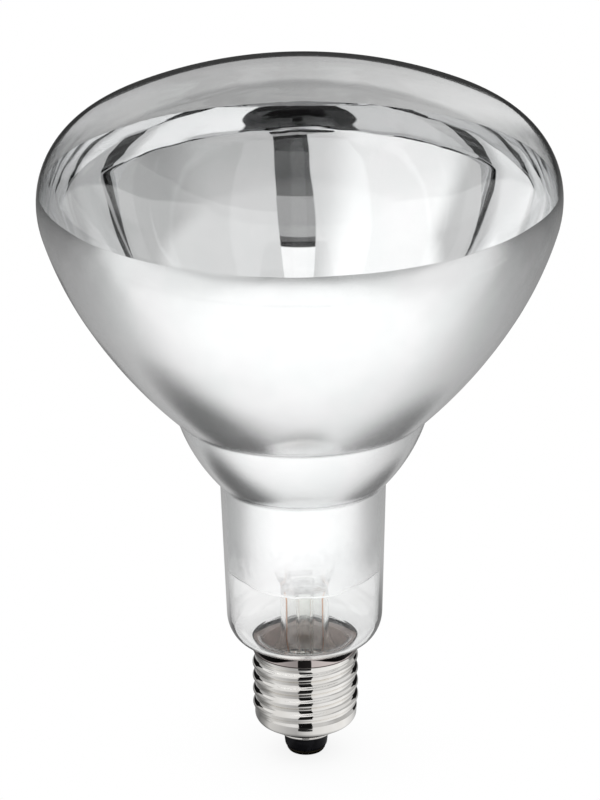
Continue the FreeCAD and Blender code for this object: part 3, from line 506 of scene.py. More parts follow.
def cement_material():
    m, nt, b = mat_new("baked_cement")
    v = coords(nt)
    big = noise(nt, v, 260.0, 5.0, 0.6, 0.5)
    fine = noise(nt, v, 3000.0, 4.0, 0.65)
    c = mix_col(nt, ramp_range(nt, big, 0.3, 0.72, 0, 1), (0.64, 0.545, 0.51), (0.47, 0.385, 0.355))
    nt.links.new(mix_col(nt, ramp_range(nt, fine, 0.55, 0.8, 0, 0.6), c, (0.74, 0.66, 0.62)), b.inputs["Base Color"])
    nt.links.new(ramp_range(nt, fine, 0.3, 0.7, 0.6, 0.9), b.inputs["Roughness"])
    bump(nt, b, fine, 0.6, 0.0001)
    return m


M_CEMENT = cement_material()


def place(ob, node):
    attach(ob, "root")
    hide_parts(node)
    return ob


# --------------------------------------------------------------- glass bulb
SEG = 160
ANG = np.arange(SEG) * (2 * np.pi / SEG)


def build_glass():
    prof = outline(1.35, 0.11)[:-1]
    outer, inner = [], []
    for r, z, nr, nz in prof:
        outer.append(ring(r, z, SEG))
        w = WALL + wall_ripple(ANG, np.full(SEG, z))
        inner.append(ring(r - w * nr, z - w * nz, SEG))
    # the cut end of the neck is fire rounded
    e = 0.22
    tip = []
    for k in range(1, 6):
        a = -math.pi * k / 6
        tip.append(ring(10.75 + 0.45 * math.cos(a), 21.5 + e + e * math.sin(a), SEG))
    outer[0] = ring(11.2, 21.5 + e, SEG)
    inner[0] = ring(10.3, 21.5 + e, SEG)
    rows = list(reversed(inner)) + list(reversed(tip)) + outer
    v, f = loft(rows, start_pole=(0, 0, z_top - WALL), end_pole=(0, 0, z_top))
    return make_object("glass_bulb", v, f, [M_GLASS])


place(build_glass(), "glass_envelope")


# ------------------------------------------------------------- mirror film
def build_film():
    dense = outline(0.2, 0.02)
    seglen = np.hypot(np.diff(dense[:, 0]), np.diff(dense[:, 1]))
    s = np.concatenate([[0], np.cumsum(seglen)])
    zz = dense[:, 1]
    iz = dense[:, 1] - WALL * dense[:, 3]
    k0 = int(np.argmax(iz > 42.0))
    k1 = int(np.argmax(iz > 160.0))
    zs, ss = iz[k0:k1], s[k0:k1]
    rows_n = 234
    steps = np.concatenate([[0.0, 0.0003], np.linspace(0, 1, rows_n - 2)[1:-1], [0.9997, 1.0]])
    # lower edge dips at the front, upper edge is nearly level
    front = np.cos(ANG + np.pi / 2)
    low = 51.3 - 1.6 * np.maximum(front, -0.4) ** 3 + 0.16 * np.sin(7 * ANG + 0.6) + 0.11 * np.sin(13 * ANG + 2.0) + 0.07 * np.sin(23 * ANG)
    low = np.maximum(low, 49.5)
    high = 149.75 - 0.10 * np.cos(ANG) + 0.06 * np.sin(9 * ANG + 1.0) + 0.04 * np.sin(21 * ANG)
    s_lo = np.interp(low, zs, ss)
    s_hi = np.interp(high, zs, ss)
    outer, inner = [], []
    for u in steps:
        sv = s_lo + (s_hi - s_lo) * u
        cols = [np.interp(sv, s, dense[:, j]) for j in range(4)]
        ln_ = np.hypot(cols[2], cols[3])
        nr, nz = cols[2] / ln_, cols[3] / ln_
        wr = WALL + wall_ripple(ANG, cols[1])
        for d, dest in ((wr + 0.02, outer), (wr + 0.10, inner)):
            dest.append(ring(cols[0] - d * nr, cols[1] - d * nz, SEG))
    rows = outer + list(reversed(inner))
    v, f = loft(rows, close=True)
    ob = make_object("mirror_film", v, f, [M_FILM_OUT, M_FILM_IN, M_FILM_LIP])
    half = (rows_n - 1) * SEG
    ids = np.zeros(len(ob.data.polygons), np.int32)
    ids[half + SEG:] = 1
    ids[half:half + SEG] = 0
    # the deposit piles up in a thin bright line at its lower edge
    ids[:2 * SEG] = 2
    ob.data.polygons.foreach_set("material_index", ids)
    ob.data.update()
    return ob


place(build_film(), "reflector_coating")


# --------------------------------------------------------------- glass stem
def stadium(t, half_core, rad):
    per = 4 * half_core + 2 * math.pi * rad
    out = []
    for x in t:
        d = (x % 1.0) * per
        q = math.pi * rad / 2
        if d < q:
            a = d / rad
            out.append((half_core + rad * math.cos(a), rad * math.sin(a)))
        elif d < q + 2 * half_core:
            out.append((half_core - (d - q), rad))
        elif d < 3 * q + 2 * half_core:
            a = math.pi / 2 + (d - q - 2 * half_core) / rad
            out.append((-half_core + rad * math.cos(a), rad * math.sin(a)))
        elif d < 3 * q + 4 * half_core:
            out.append((-half_core + (d - 3 * q - 2 * half_core), -rad))
        else:
            a = 1.5 * math.pi + (d - 3 * q - 4 * half_core) / rad
            out.append((half_core + rad * math.cos(a), rad * math.sin(a)))
    return np.array(out)


def build_stem():
    seg = 96
    t = np.arange(seg) / seg
    rows = []
    # bore, from its closed end down to the flare
    for r, z in ((2.3, 44.97), (3.3, 44.95), (4.2, 44.75), (4.75, 44.3), (5.0, 43.4)):
        rows.append(ring(r, z, seg))
    for z in np.linspace(42.4, 34.5, 10):
        rows.append(ring(5.0, z, seg))
    for a in np.linspace(0, 42.6, 16)[1:]:
        rows.append(ring(20.77 - 15.77 * math.cos(math.radians(a)), 34.5 - 15.77 * math.sin(math.radians(a)), seg))
    # rim of the flare
    rim = rounded([(9.17, 23.8), (9.25, 22.35), (10.26, 22.35), (10.26, 23.6), (9.90, 24.5)], 0.45, 5)
    for r, z in rim[1:-1]:
        rows.append(ring(r, z, seg))
    for a in np.linspace(42.6, 0, 18):
        rows.append(ring(20.77 - 14.77 * math.cos(math.radians(a)), 34.5 - 14.77 * math.sin(math.radians(a)), seg))
    for z in np.linspace(34.5, 44.4, 12)[1:]:
        rows.append(ring(6.0, z, seg))
    # round tube squeezed flat into the press
    st = stadium(t, 5.0, 2.5)
    ci = ring(6.0, 0, seg)[:, :2]
    for z in np.linspace(44.8, 49.4, 14):
        w = float(smooth01((z - 44.6) / 4.6))
        q = ci * (1 - w) + st * w
        rows.append(np.column_stack([q, np.full(seg, z)]))
    for z in np.linspace(49.9, 57.0, 14):
        grip = 0.06 * math.sin((z - 50) * 2.6)
        q = stadium(t, 5.0, 2.5 - 0.05 - abs(grip))
        rows.append(np.column_stack([q, np.full(seg, z)]))
    for k in range(1, 7):
        a = math.pi / 2 * k / 6
        q = stadium(t, 5.0, 2.44 - 0.9 * (1 - math.cos(a)))
        rows.append(np.column_stack([q, np.full(seg, 57.05 + 0.93 * math.sin(a))]))
    for k in (0.6, 0.25):
        q = stadium(t, 5.0 * k, 1.54 * k)
        rows.append(np.column_stack([q, np.full(seg, 57.98)]))
    v, f = loft(rows, start_pole=(0, 0, 44.97), end_pole=(0, 0, 57.98))
    return make_object("glass_stem", v, f, [M_STEM])


place(build_stem(), "stem_glass")


def build_exhaust():
    seg = 48
    rows = []
    for z in np.linspace(44.9, 18.0, 28):
        rows.append(ring(1.4, z, seg))
    for r, z in ((1.3, 17.2), (1.0, 16.5), (0.55, 16.0)):
        rows.append(ring(r, z, seg))
    body = [(0.45, 14.54), (0.95, 14.8), (1.4, 15.4), (1.75, 16.3), (2.02, 17.5), (2.15, 18.6), (2.2, 19.8)]
    back = [ring(r, z, seg) for r, z in body]
    for z in np.linspace(21.0, 44.9, 24):
        back.append(ring(2.2, z, seg))
    v1, f1 = loft(rows, end_pole=(0, 0, 15.85))
    v2, f2 = loft(back, start_pole=(0, 0, 14.5))
    # ring that joins bore and outside at the upper end
    k = len(v1)
    verts = v1 + v2
    faces = f1 + [tuple(i + k for i in q) for q in f2]
    top = k + (len(back) - 1) * seg
    for j in range(seg):
        faces.append((j, (j + 1) % seg, top + (j + 1) % seg, top + j))
    return make_object("exhaust_glass", verts, faces, [M_STEM])


place(build_exhaust(), "exhaust_tube")


def build_arbor():
    seg = 48
    rod = [(1.2, 58.02), (1.5, 58.4), (1.5, 66.0), (1.5, 77.2), (1.62, 78.2), (2.2, 79.2), (2.62, 80.3), (2.68, 80.9), (2.55, 81.6), (2.1, 82.15), (1.2, 82.38)]
    prof = densify(rounded(rod, 0.7, 5), 0.5)
    v, f = loft([ring(r, z, seg) for r, z in prof], start_pole=(0, 0, 58.0), end_pole=(0, 0, 82.4))
    return make_object("arbor_glass", v, f, [M_STEM])


place(build_arbor(), "arbor_rod")


# ------------------------------------------------------------ coiled filament
def tube(path, radius, seg):
    p = np.asarray(path, float)
    tan = np.gradient(p, axis=0)
    tan /= np.linalg.norm(tan, axis=1)[:, None]
    ref = np.array([0.0, 0.0, 1.0])
    rows = []
    u = np.cross(tan[0], ref)
    u /= np.linalg.norm(u)
    for i in range(len(p)):
        u = u - tan[i] * np.dot(u, tan[i])
        u /= np.linalg.norm(u)
        w = np.cross(tan[i], u)
        a = np.arange(seg) * (2 * np.pi / seg)
        rows.append(p[i] + radius * (np.cos(a)[:, None] * u + np.sin(a)[:, None] * w))
    return loft(rows, start_pole=p[0], end_pole=p[-1])


def build_filament():
    big, rad, wire, pitch = 12.0, 0.66, 0.125, 0.36
    a0, sweep = math.radians(-50.0), math.radians(280.0)
    length = big * sweep
    turns = length / pitch
    n = int(turns * 15)
    path = []
    for i in range(n + 1):
        w = i / n
        a = a0 + sweep * w
        ph = 2 * math.pi * turns * w
        sag = 0.10 * math.sin(5 * a + 0.6) * math.sin(math.pi * w)
        r = big + rad * math.cos(ph)
        path.append((r * math.cos(a), r * math.sin(a), 86.0 + rad * math.sin(ph) + min(sag, 0.0)))
    v, f = tube(path, wire, 6)
    return make_object("filament_coil", v, f, [M_TUNG])


place(build_filament(), "filament")


# ------------------------------------------------------------------ screw cap
MAJOR, MID, AMP, PITCH = 13.1, 12.62, 0.48, 3.629
ARC_R = ((PITCH / 4) ** 2 + AMP ** 2) / (2 * AMP)


def round_wave(x):
    """+1 at crests and -1 at roots, one period per turn, made of two equal arcs."""
    x = (x + 0.5) % 1.0 - 0.5
    out = np.empty_like(x)
    top = np.abs(x) <= 0.25
    y = x * PITCH
    out[top] = 1 - (ARC_R - np.sqrt(ARC_R ** 2 - y[top] ** 2)) / AMP
    yb = (np.abs(x[~top]) - 0.5) * PITCH
    out[~top] = -1 + (ARC_R - np.sqrt(ARC_R ** 2 - yb ** 2)) / AMP
    return out


def thread_r(z, theta):
    fade = smooth01((27.9 - z) / 2.2) * smooth01((z - 10.9) / 2.6)
    return MID + fade * AMP * round_wave((z - 21.5) / PITCH - (theta + np.pi / 2) / (2 * np.pi))


def build_cap():
    seg, turn_rows = 300, 42
    th = np.arange(seg) * (2 * np.pi / seg)
    rows = []
    # inside, from the lip up to the collar
    for w in np.linspace(0, 1, 6):
        rows.append(ring(5.86 + (11.355 - 5.86) * w, 5.46 + (8.907 - 5.46) * w, seg))
    for a in np.linspace(-57.9, 0, 7)[1:]:
        rows.append(ring(10.263 + 2.057 * math.cos(math.radians(a)), 10.65 + 2.057 * math.sin(math.radians(a)), seg))
    for z in np.linspace(11.0, 27.8, 34):
        rows.append(ring(thread_r(np.full(seg, z), th) - 0.3, z, seg))
    for r, z in ((12.40, 28.05), (12.60, 28.3), (12.76, 28.5), (12.80, 28.8), (12.80, 29.6), (12.80, 30.4)):
        rows.append(ring(r, z, seg))
    # rolled rim of the collar
    for a in np.linspace(180, 0, 9):
        rows.append(ring(13.0 + 0.20 * math.cos(math.radians(a)), 30.45 + 0.20 * math.sin(math.radians(a)), seg))
    for r, z in ((13.18, 30.3), (13.12, 30.15), (13.1, 29.9), (13.1, 29.2), (13.1, 28.5), (13.08, 28.3), (13.01, 28.14), (12.90, 28.04), (12.76, 27.98), (12.64, 27.94)):
        rows.append(ring(r, z, seg))
    z_hi, z_lo = 27.86, 10.95
    rows.append(ring(thread_r(np.full(seg, z_hi), th), z_hi, seg))
    top = (len(rows) - 1) * seg
    rows.append(ring(thread_r(np.full(seg, z_lo), th), z_lo, seg))
    bottom = (len(rows) - 1) * seg
    for a in np.linspace(0, -57.9, 12):
        rows.append(ring(10.263 + 2.357 * math.cos(math.radians(a)), 10.65 + 2.357 * math.sin(math.radians(a)), seg))
    for w in np.linspace(0, 1, 11)[1:-1]:
        rows.append(ring(11.514 + (6.85 - 11.514) * w, 8.652 + (5.80 - 8.652) * w, seg))
    for a in np.linspace(75, -190, 12):
        rows.append(ring(6.34 + 0.30 * math.cos(math.radians(a)), 5.50 + 0.30 * math.sin(math.radians(a)), seg))
    v, f = loft(rows, close=True)
    # the rows of the thread climb with it, one pitch a turn, between the two plain rings
    f = [q for q in f if not (top <= q[0] < top + seg and bottom <= q[3] < bottom + seg)]
    dz = PITCH / turn_rows
    z0 = z_lo - PITCH
    n = int(math.ceil((z_hi - z0) / dz))
    ids = np.empty((n + 1, seg), int)
    for i in range(n + 1):
        z = z0 + i * dz + PITCH * np.arange(seg) / seg
        r = thread_r(z, th)
        for j in range(seg):
            if z[j] < z_lo + 0.35 * dz:
                ids[i, j] = bottom + j
            elif z[j] > z_hi - 0.35 * dz:
                ids[i, j] = top + j
            else:
                ids[i, j] = len(v)
                v.append((r[j] * math.cos(th[j]), r[j] * math.sin(th[j]), z[j]))
    for i in range(n):
        for j in range(seg):
            if j < seg - 1:
                b, c = ids[i, j + 1], ids[i + 1, j + 1]
            else:
                b, c = ids[min(i + turn_rows, n), 0], ids[min(i + 1 + turn_rows, n), 0]
            q = []
            for k in (ids[i, j], b, c, ids[i + 1, j]):
                if int(k) not in q:
                    q.append(int(k))
            if len(q) > 2:
                f.append(tuple(q))
    return make_object("screw_cap", v, f, [M_CAP])


place(build_cap(), "cap_shell")


def build_insulator():
    seg = 96
    prof = [(1.1, 8.2), (1.1, 1.25), (4.85, 1.22), (5.2, 1.75), (5.36, 3.0), (5.42, 4.3), (5.62, 4.85), (5.78, 5.35), (5.86, 5.52), (11.30, 8.93), (9.6, 8.6), (5.2, 7.6), (2.6, 8.1), (1.1, 8.2)]
    prof = densify(rounded(prof, 0.35, 5), 0.4)[:-1]
    v, f = loft([ring(r, z, seg) for r, z in prof], close=True)
    return make_object("insulator_glass", v, f, [M_INS])


place(build_insulator(), "cap_insulator")


def build_contact():
    seg = 80
    hole = 0.45
    prof = [(hole, 1.18), (4.78, 1.18), (4.78, 0.75), (4.3, 0.02), (2.2, 0.0), (1.85, 0.42), (1.75, 0.5), (hole, 0.52), (hole, 1.18)]
    prof = densify(rounded(prof, 0.28, 5), 0.3)[:-1]
    v, f = loft([ring(r, max(z, 0.0), seg) for r, z in prof], close=True)
    return make_object("contact_disc", v, f, [M_BRASS])


place(build_contact(), "centre_contact")

# ------------------------------------------------- pieces kept from the frame
KEEP = {
    "lead_wire_left": M_NICKEL,
    "lead_wire_right": M_NICKEL,
    "seal_wire_left": M_SEAL,
    "seal_wire_right": M_SEAL,
    "support_wire_1": M_MOLY,
    "support_wire_2": M_MOLY,
    "support_wire_3": M_MOLY,
    "support_wire_4": M_MOLY,
    "outer_lead_centre": M_COPPER,
    "outer_lead_side": M_COPPER,
    "contact_solder": M_SOLDER,
    "side_solder": M_SOLDER,
    "basing_cement": M_CEMENT,
}
for name, mat in KEEP.items():
    ob = NODES[name]
    ob.data.materials.clear()
    ob.data.materials.append(mat)
    ob.data.shade_smooth()
    mod = ob.modifiers.new("edges", "EDGE_SPLIT")
    mod.split_angle = math.radians(38)

# ----------------------------------------------------------------- the stage
def back_light(nt, x, y):
    """Brightness low behind the bulb, by the angle away from straight behind."""
    b = math_node(nt, "MULTIPLY", math_node(nt, "ARCTAN2", x, y), 180 / math.pi)
    cr = nd(nt, "ShaderNodeValToRGB")
    nt.links.new(ramp_range(nt, b, -45.0, 45.0, 0.0, 1.0, False), cr.inputs["Fac"])
    stops = [(-42, 0.10), (-33, 0.20), (-22, 0.40), (-10, 0.46), (0, 0.50), (4, 0.60), (8, 0.70), (15, 0.80), (22, 0.70), (29, 0.38), (38, 0.10)]
    el = cr.color_ramp.elements
    while len(el) < len(stops):
        el.new(0.5)
    for e, (d, q) in zip(el, stops):
        e.position = (d + 45) / 90
        e.color = (q, q, q, 1)
    return cr.outputs["Color"]


def build_floor():
    me = bpy.data.meshes.new("floor")
    s = 6.0
    me.from_pydata([(-s, -s, 0), (s, -s, 0), (s, s, 0), (-s, s, 0)], [], [(0, 1, 2, 3)])
    ob = bpy.data.objects.new("floor", me)
    ob.location = (0, 0, -0.0002)
    SCENE.collection.objects.link(ob)
    m = bpy.data.materials.new("pale_floor")
    m.use_nodes = True
    nt = m.node_tree
    nt.nodes.clear()
    out = nd(nt, "ShaderNodeOutputMaterial")
    tc = nd(nt, "ShaderNodeTexCoord")
    sx = nd(nt, "ShaderNodeSeparateXYZ")
    nt.links.new(tc.outputs["Object"], sx.inputs[0])
    x, y = sx.outputs[0], sx.outputs[1]
    # studio table as the bulb mirrors it: lit at the front, falling off to the back and the sides
    cr = nd(nt, "ShaderNodeValToRGB")
    nt.links.new(ramp_range(nt, y, -0.2, 0.5, 0.0, 1.0, False), cr.inputs["Fac"])
    stops = [(-0.13, 1.0), (-0.095, 0.97), (-0.065, 0.92), (-0.035, 0.82), (-0.005, 0.66), (0.025, 0.52), (0.06, 0.44), (0.1, 0.38), (0.145, 0.34), (0.2, 0.30), (0.265, 0.25), (0.5, 0.12)]
    el = cr.color_ramp.elements
    while len(el) < len(stops):
        el.new(0.5)
    for e, (yy, v) in zip(el, stops):
        e.position = (yy + 0.2) / 0.7
        e.color = (v, v, v, 1)
    side_l = ramp_range(nt, x, -0.30, -0.06, 0.78, 1.0)
    side_r = ramp_range(nt, x, 0.06, 0.30, 1.0, 0.76)
    pat = math_node(nt, "MULTIPLY", cr.outputs["Color"], math_node(nt, "MULTIPLY", side_l, side_r))
    pat = math_node(nt, "MULTIPLY", pat, ramp_range(nt, y, -1.3, -0.35, 0.5, 1.0))
    pat = math_node(nt, "MULTIPLY", pat, ramp_range(nt, y, 0.30, 0.75, 1.0, 0.3))

    # soft shadows of the bulb round and behind its foot
    def shadow(cx, cy, rx, ry, inner):
        ex = math_node(nt, "DIVIDE", math_node(nt, "SUBTRACT", x, cx), rx)
        ey = math_node(nt, "DIVIDE", math_node(nt, "SUBTRACT", y, cy), ry)
        rr = math_node(nt, "SQRT", math_node(nt, "ADD", math_node(nt, "MULTIPLY", ex, ex), math_node(nt, "MULTIPLY", ey, ey)))
        return ramp_range(nt, rr, 0.45, 1.5, inner, 1.0)

    r0 = math_node(nt, "SQRT", math_node(nt, "ADD", math_node(nt, "MULTIPLY", x, x), math_node(nt, "MULTIPLY", y, y)))
    for q in (
        shadow(-0.048, 0.028, 0.056, 0.040, 0.24),
        shadow(0.046, 0.050, 0.036, 0.040, 0.36),
        ramp_range(nt, r0, 0.006, 0.024, 0.06, 1.0),
    ):
        pat = math_node(nt, "MULTIPLY", pat, q)
    pat = math_node(nt, "MULTIPLY", pat, 1.16)
    # the bare cap sees the table close by: bright to the right, dimmer to the left, dark between the two panels
    lp = nd(nt, "ShaderNodeLightPath")
    turn = math_node(nt, "MULTIPLY", math_node(nt, "ARCTAN2", x, math_node(nt, "MULTIPLY", y, -1.0)), 180 / math.pi)
    cc = nd(nt, "ShaderNodeValToRGB")
    nt.links.new(ramp_range(nt, turn, -180.0, 180.0, 0.0, 1.0, False), cc.inputs["Fac"])
    stops = [(-180, 0.45), (-140, 0.25), (-112, 0.16), (-92, 0.30), (-75, 0.66), (-55, 0.60), (-36, 0.48), (-18, 0.42), (14, 0.80), (40, 0.86), (80, 0.95), (105, 0.75), (130, 0.45), (180, 0.45)]
    el = cc.color_ramp.elements
    while len(el) < len(stops):
        el.new(0.5)
    for e, (d, v) in zip(el, stops):
        e.position = (d + 180) / 360
        e.color = (v, v, v, 1)
    strip = math_node(nt, "MULTIPLY", ramp_range(nt, turn, -15.4, -14.4, 0, 1), ramp_range(nt, turn, 11.6, 12.6, 0.97, 0))
    strip = math_node(nt, "MULTIPLY", strip, ramp_range(nt, y, -0.033, -0.031, 1.0, 0.0))
    near = math_node(nt, "MULTIPLY", cc.outputs["Color"], ramp_range(nt, r0, 0.006, 0.018, 0.35, 1.0))
    near = math_node(nt, "MULTIPLY", near, math_node(nt, "SUBTRACT", 1.0, strip))
    # a ray comes from the cap if the height it started at, worked out from its length, is low enough
    run = math_node(nt, "SUBTRACT", r0, 0.013)
    span = lp.outputs["Ray Length"]
    rise = math_node(nt, "SUBTRACT", math_node(nt, "MULTIPLY", span, span), math_node(nt, "MULTIPLY", run, run))
    slack = math_node(nt, "MULTIPLY", r0, 0.003)
    low = math_node(nt, "LESS_THAN", math_node(nt, "SUBTRACT", rise, slack), 0.00115)
    low = math_node(nt, "MULTIPLY", low, math_node(nt, "GREATER_THAN", math_node(nt, "ADD", rise, slack), 0.0))
    # far behind, only the outline of the face looks
    here = math_node(nt, "MAXIMUM", math_node(nt, "LESS_THAN", y, 0.03), math_node(nt, "LESS_THAN", r0, 0.2))
    low = math_node(nt, "MULTIPLY", low, here)
    bare = math_node(nt, "LESS_THAN", lp.outputs["Transmission Depth"], 0.5)
    pm = nd(nt, "ShaderNodeMix", data_type="FLOAT")
    nt.links.new(math_node(nt, "MULTIPLY", bare, low), pm.inputs[0])
    nt.links.new(pat, pm.inputs[2])
    nt.links.new(near, pm.inputs[3])
    pat = pm.outputs[0]
    # light that was turned inside the clear end of the neck comes from a bright table
    run = math_node(nt, "SUBTRACT", r0, 0.016)
    rise = math_node(nt, "SUBTRACT", math_node(nt, "MULTIPLY", span, span), math_node(nt, "MULTIPLY", run, run))
    slack = math_node(nt, "MULTIPLY", r0, 0.004)
    low = math_node(nt, "LESS_THAN", math_node(nt, "SUBTRACT", rise, slack), 0.0020)
    low = math_node(nt, "MULTIPLY", low, math_node(nt, "GREATER_THAN", math_node(nt, "ADD", rise, slack), 0.0))
    low = math_node(nt, "MULTIPLY", low, math_node(nt, "MULTIPLY", here, math_node(nt, "LESS_THAN", r0, 0.35)))
    low = math_node(nt, "MULTIPLY", low, math_node(nt, "SUBTRACT", 1.0, bare))
    pn = nd(nt, "ShaderNodeMix", data_type="FLOAT")
    nt.links.new(low, pn.inputs[0])
    nt.links.new(pat, pn.inputs[2])
    nt.links.new(math_node(nt, "MAXIMUM", pat, 0.86), pn.inputs[3])
    pat = pn.outputs[0]
    # what shows through the clear glass
    far = back_light(nt, x, y)
    fw = ramp_range(nt, y, 0.17, 0.42, 0.0, 1.0)
    th_mix = nd(nt, "ShaderNodeMix", data_type="FLOAT")
    nt.links.new(fw, th_mix.inputs[0])
    nt.links.new(ramp_range(nt, x, -0.03, 0.05, 0.90, 0.80), th_mix.inputs[2])
    nt.links.new(far, th_mix.inputs[3])
    thru = th_mix.outputs[0]
    mirrored = math_node(nt, "GREATER_THAN", lp.outputs["Glossy Depth"], 0.5)
    mx = nd(nt, "ShaderNodeMix", data_type="FLOAT")
    nt.links.new(mirrored, mx.inputs[0])
    nt.links.new(thru, mx.inputs[2])
    nt.links.new(pat, mx.inputs[3])
    ao = nd(nt, "ShaderNodeAmbientOcclusion")
    ao.samples = 8
    ao.inputs["Distance"].default_value = 0.05
    shade = ramp_range(nt, ao.outputs["AO"], 0.0, 0.9, 0.86, 1.0)
    mc = nd(nt, "ShaderNodeMix", data_type="FLOAT")
    nt.links.new(lp.outputs["Is Camera Ray"], mc.inputs[0])
    nt.links.new(mx.outputs[0], mc.inputs[2])
    nt.links.new(shade, mc.inputs[3])
    em = nd(nt, "ShaderNodeEmission")
    nt.links.new(mc.outputs[0], em.inputs["Strength"])
    nt.links.new(em.outputs[0], out.inputs["Surface"])
    m.cycles.emission_sampling = "NONE"
    me.materials.append(m)
    return ob


build_floor()


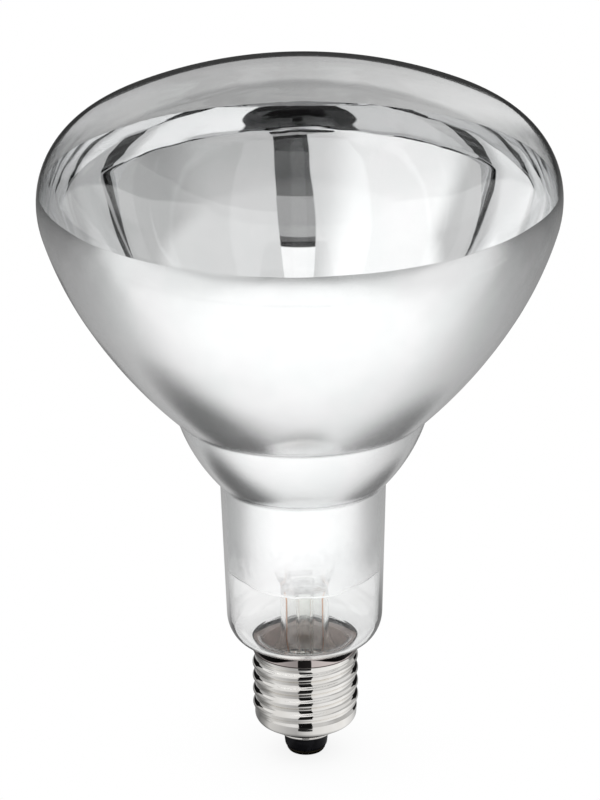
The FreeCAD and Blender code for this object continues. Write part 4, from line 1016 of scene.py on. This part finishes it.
def build_world():
    w = bpy.data.worlds.new("studio")
    SCENE.world = w
    w.use_nodes = True
    nt = w.node_tree
    nt.nodes.clear()
    out = nd(nt, "ShaderNodeOutputWorld")
    tc = nd(nt, "ShaderNodeTexCoord")
    sx = nd(nt, "ShaderNodeSeparateXYZ")
    nt.links.new(tc.outputs["Generated"], sx.inputs[0])
    x, y, z = sx.outputs[0], sx.outputs[1], sx.outputs[2]
    deg = 180 / math.pi
    az = math_node(nt, "MULTIPLY", math_node(nt, "ARCTAN2", x, math_node(nt, "MULTIPLY", y, -1.0)), deg)
    elv = math_node(nt, "MULTIPLY", math_node(nt, "ARCSINE", z), deg)

    def mul(*args):
        out_ = args[0]
        for q in args[1:]:
            out_ = math_node(nt, "MULTIPLY", out_, q)
        return out_

    def plus(*args):
        out_ = args[0]
        for q in args[1:]:
            out_ = math_node(nt, "ADD", out_, q)
        return out_

    def pick(fac, lo_, hi_):
        m = nd(nt, "ShaderNodeMix", data_type="FLOAT")
        nt.links.new(fac, m.inputs[0])
        for sock, q in ((m.inputs[2], lo_), (m.inputs[3], hi_)):
            if isinstance(q, (int, float)):
                sock.default_value = q
            else:
                nt.links.new(q, sock)
        return m.outputs[0]

    # height on a wall that faces the bulb from the camera's side
    v = math_node(nt, "DIVIDE", z, math_node(nt, "MAXIMUM", math_node(nt, "MULTIPLY", y, -1.0), 0.05))
    up = ramp_range(nt, elv, 5, 11, 0, 1)
    gap_lo = pick(up, -16.0, ramp_range(nt, elv, 16, 44, -4.2, -9.5))
    gap_hi = pick(up, 13.0, ramp_range(nt, elv, 16, 44, 11.8, 13.0))
    in_gap = mul(
        ramp_range(nt, math_node(nt, "SUBTRACT", az, gap_lo), -0.4, 0.4, 0, 1),
        ramp_range(nt, math_node(nt, "SUBTRACT", gap_hi, az), -0.4, 0.4, 0, 1),
    )
    # between the two soft panels, from the table up
    g = pick(ramp_range(nt, v, 0.125, 0.135, 0, 1), 0.0, 0.36)
    g = pick(ramp_range(nt, v, 0.195, 0.205, 0, 1), g, 0.0)
    g = pick(ramp_range(nt, v, 0.335, 0.345, 0, 1), g, 0.06)
    g = pick(ramp_range(nt, v, 0.622, 0.632, 0, 1), g, 0.31)
    g = pick(ramp_range(nt, v, 0.954, 0.964, 0, 1), g, 0.0)
    g = pick(ramp_range(nt, v, 1.035, 1.047, 0, 1), g, 1.12)
    # left panel
    left = plus(ramp_range(nt, az, -32, -9, 1.12, 0.70), ramp_range(nt, v, 0.5, 1.0, 0.0, 0.05))
    low = ramp_range(nt, elv, 26, 32, 1, 0)
    left = mul(left, math_node(nt, "SUBTRACT", 1.0, mul(ramp_range(nt, az, -86, -72, 0.45, 0.0), low)))
    # right panel
    right = plus(ramp_range(nt, v, 0.3, 0.72, 0.60, 0.68), mul(ramp_range(nt, v, 0.735, 0.75, 0, 1), 0.08))
    right = mul(right, math_node(nt, "SUBTRACT", 1.0, mul(ramp_range(nt, az, 38, 70, 0.0, 0.34), low)))
    right = pick(ramp_range(nt, elv, 28, 34, 0, 1), right, math_node(nt, "MAXIMUM", right, 0.66))
    side = pick(ramp_range(nt, az, -0.5, 0.5, 0, 1), left, right)
    cut = ramp_range(nt, elv, 36, 52, 127.0, 111.0)
    side = mul(side, ramp_range(nt, math_node(nt, "SUBTRACT", cut, math_node(nt, "ABSOLUTE", az)), -2.0, 2.0, 0, 1))
    env = pick(in_gap, side, g)
    # the bare cap sees a plain dark gap
    lp = nd(nt, "ShaderNodeLightPath")
    bare = math_node(nt, "LESS_THAN", lp.outputs["Transmission Depth"], 0.5)
    in_bare = mul(ramp_range(nt, az, -17.2, -16.4, 0, 1), ramp_range(nt, az, 13.2, 14.0, 1, 0))
    dimmer = mul(side, ramp_range(nt, az, -34, -4, 0.70, 1.0))
    env = pick(bare, env, pick(in_bare, dimmer, ramp_range(nt, v, 0.98, 1.04, 0.0, 1.0)))
    # wall low behind the bulb
    behind = mul(ramp_range(nt, math_node(nt, "SUBTRACT", math_node(nt, "ABSOLUTE", az), cut), -2.0, 2.0, 0, 1), ramp_range(nt, elv, 19, 23, 1, 0))
    wall = back_light(nt, x, y)
    b = math_node(nt, "ABSOLUTE", math_node(nt, "MULTIPLY", math_node(nt, "ARCTAN2", x, y), deg))
    env = pick(mul(behind, ramp_range(nt, b, 15, 24, 1, 0)), env, wall)
    # dim ceiling
    env = pick(ramp_range(nt, elv, 64, 70, 0, 1), env, pick(bare, 0.30, 0.75))
    env = plus(env, 0.006)
    # what shows through the clear glass near the horizon
    plain = math_node(nt, "LESS_THAN", lp.outputs["Glossy Depth"], 0.5)
    env = pick(mul(plain, ramp_range(nt, elv, 4, 9, 1, 0)), env, wall)
    mc = nd(nt, "ShaderNodeMix", data_type="FLOAT")
    nt.links.new(lp.outputs["Is Camera Ray"], mc.inputs[0])
    nt.links.new(env, mc.inputs[2])
    mc.inputs[3].default_value = 1.0
    bg = nd(nt, "ShaderNodeBackground")
    bg.inputs["Color"].default_value = (1, 1, 1, 1)
    nt.links.new(mc.outputs[0], bg.inputs["Strength"])
    nt.links.new(bg.outputs[0], out.inputs["Surface"])
    w.cycles.sampling_method = "NONE"


build_world()

# ---------------------------------------------------------------- the camera
ELEV, DIST, F_PX = math.radians(22.5), 1.150, 4738.44
target = Vector((-0.00051, 0.0, 0.094145))
cam_data = bpy.data.cameras.new("camera")
cam_data.sensor_width = 36.0
cam_data.lens = F_PX * 36.0 / 800.0
cam_data.clip_start = 0.01
cam_data.clip_end = 50.0
cam = bpy.data.objects.new("camera", cam_data)
cam.location = target + Vector((0, -math.cos(ELEV), math.sin(ELEV))) * DIST
cam.rotation_euler = (Matrix.Rotation(math.pi / 2 - ELEV, 3, "X") @ Matrix.Rotation(math.radians(-0.7), 3, "Z")).to_euler()
SCENE.collection.objects.link(cam)
SCENE.camera = cam

SCENE.view_settings.view_transform = "Standard"
SCENE.view_settings.look = "None"
cy = SCENE.cycles
cy.max_bounces = 40
cy.glossy_bounces = 24
cy.transmission_bounces = 32
cy.transparent_max_bounces = 32
cy.diffuse_bounces = 4
cy.caustics_reflective = True
cy.caustics_refractive = True
cy.blur_glossy = 0.0
cy.sample_clamp_indirect = 4.0

bpy.context.view_layer.update()
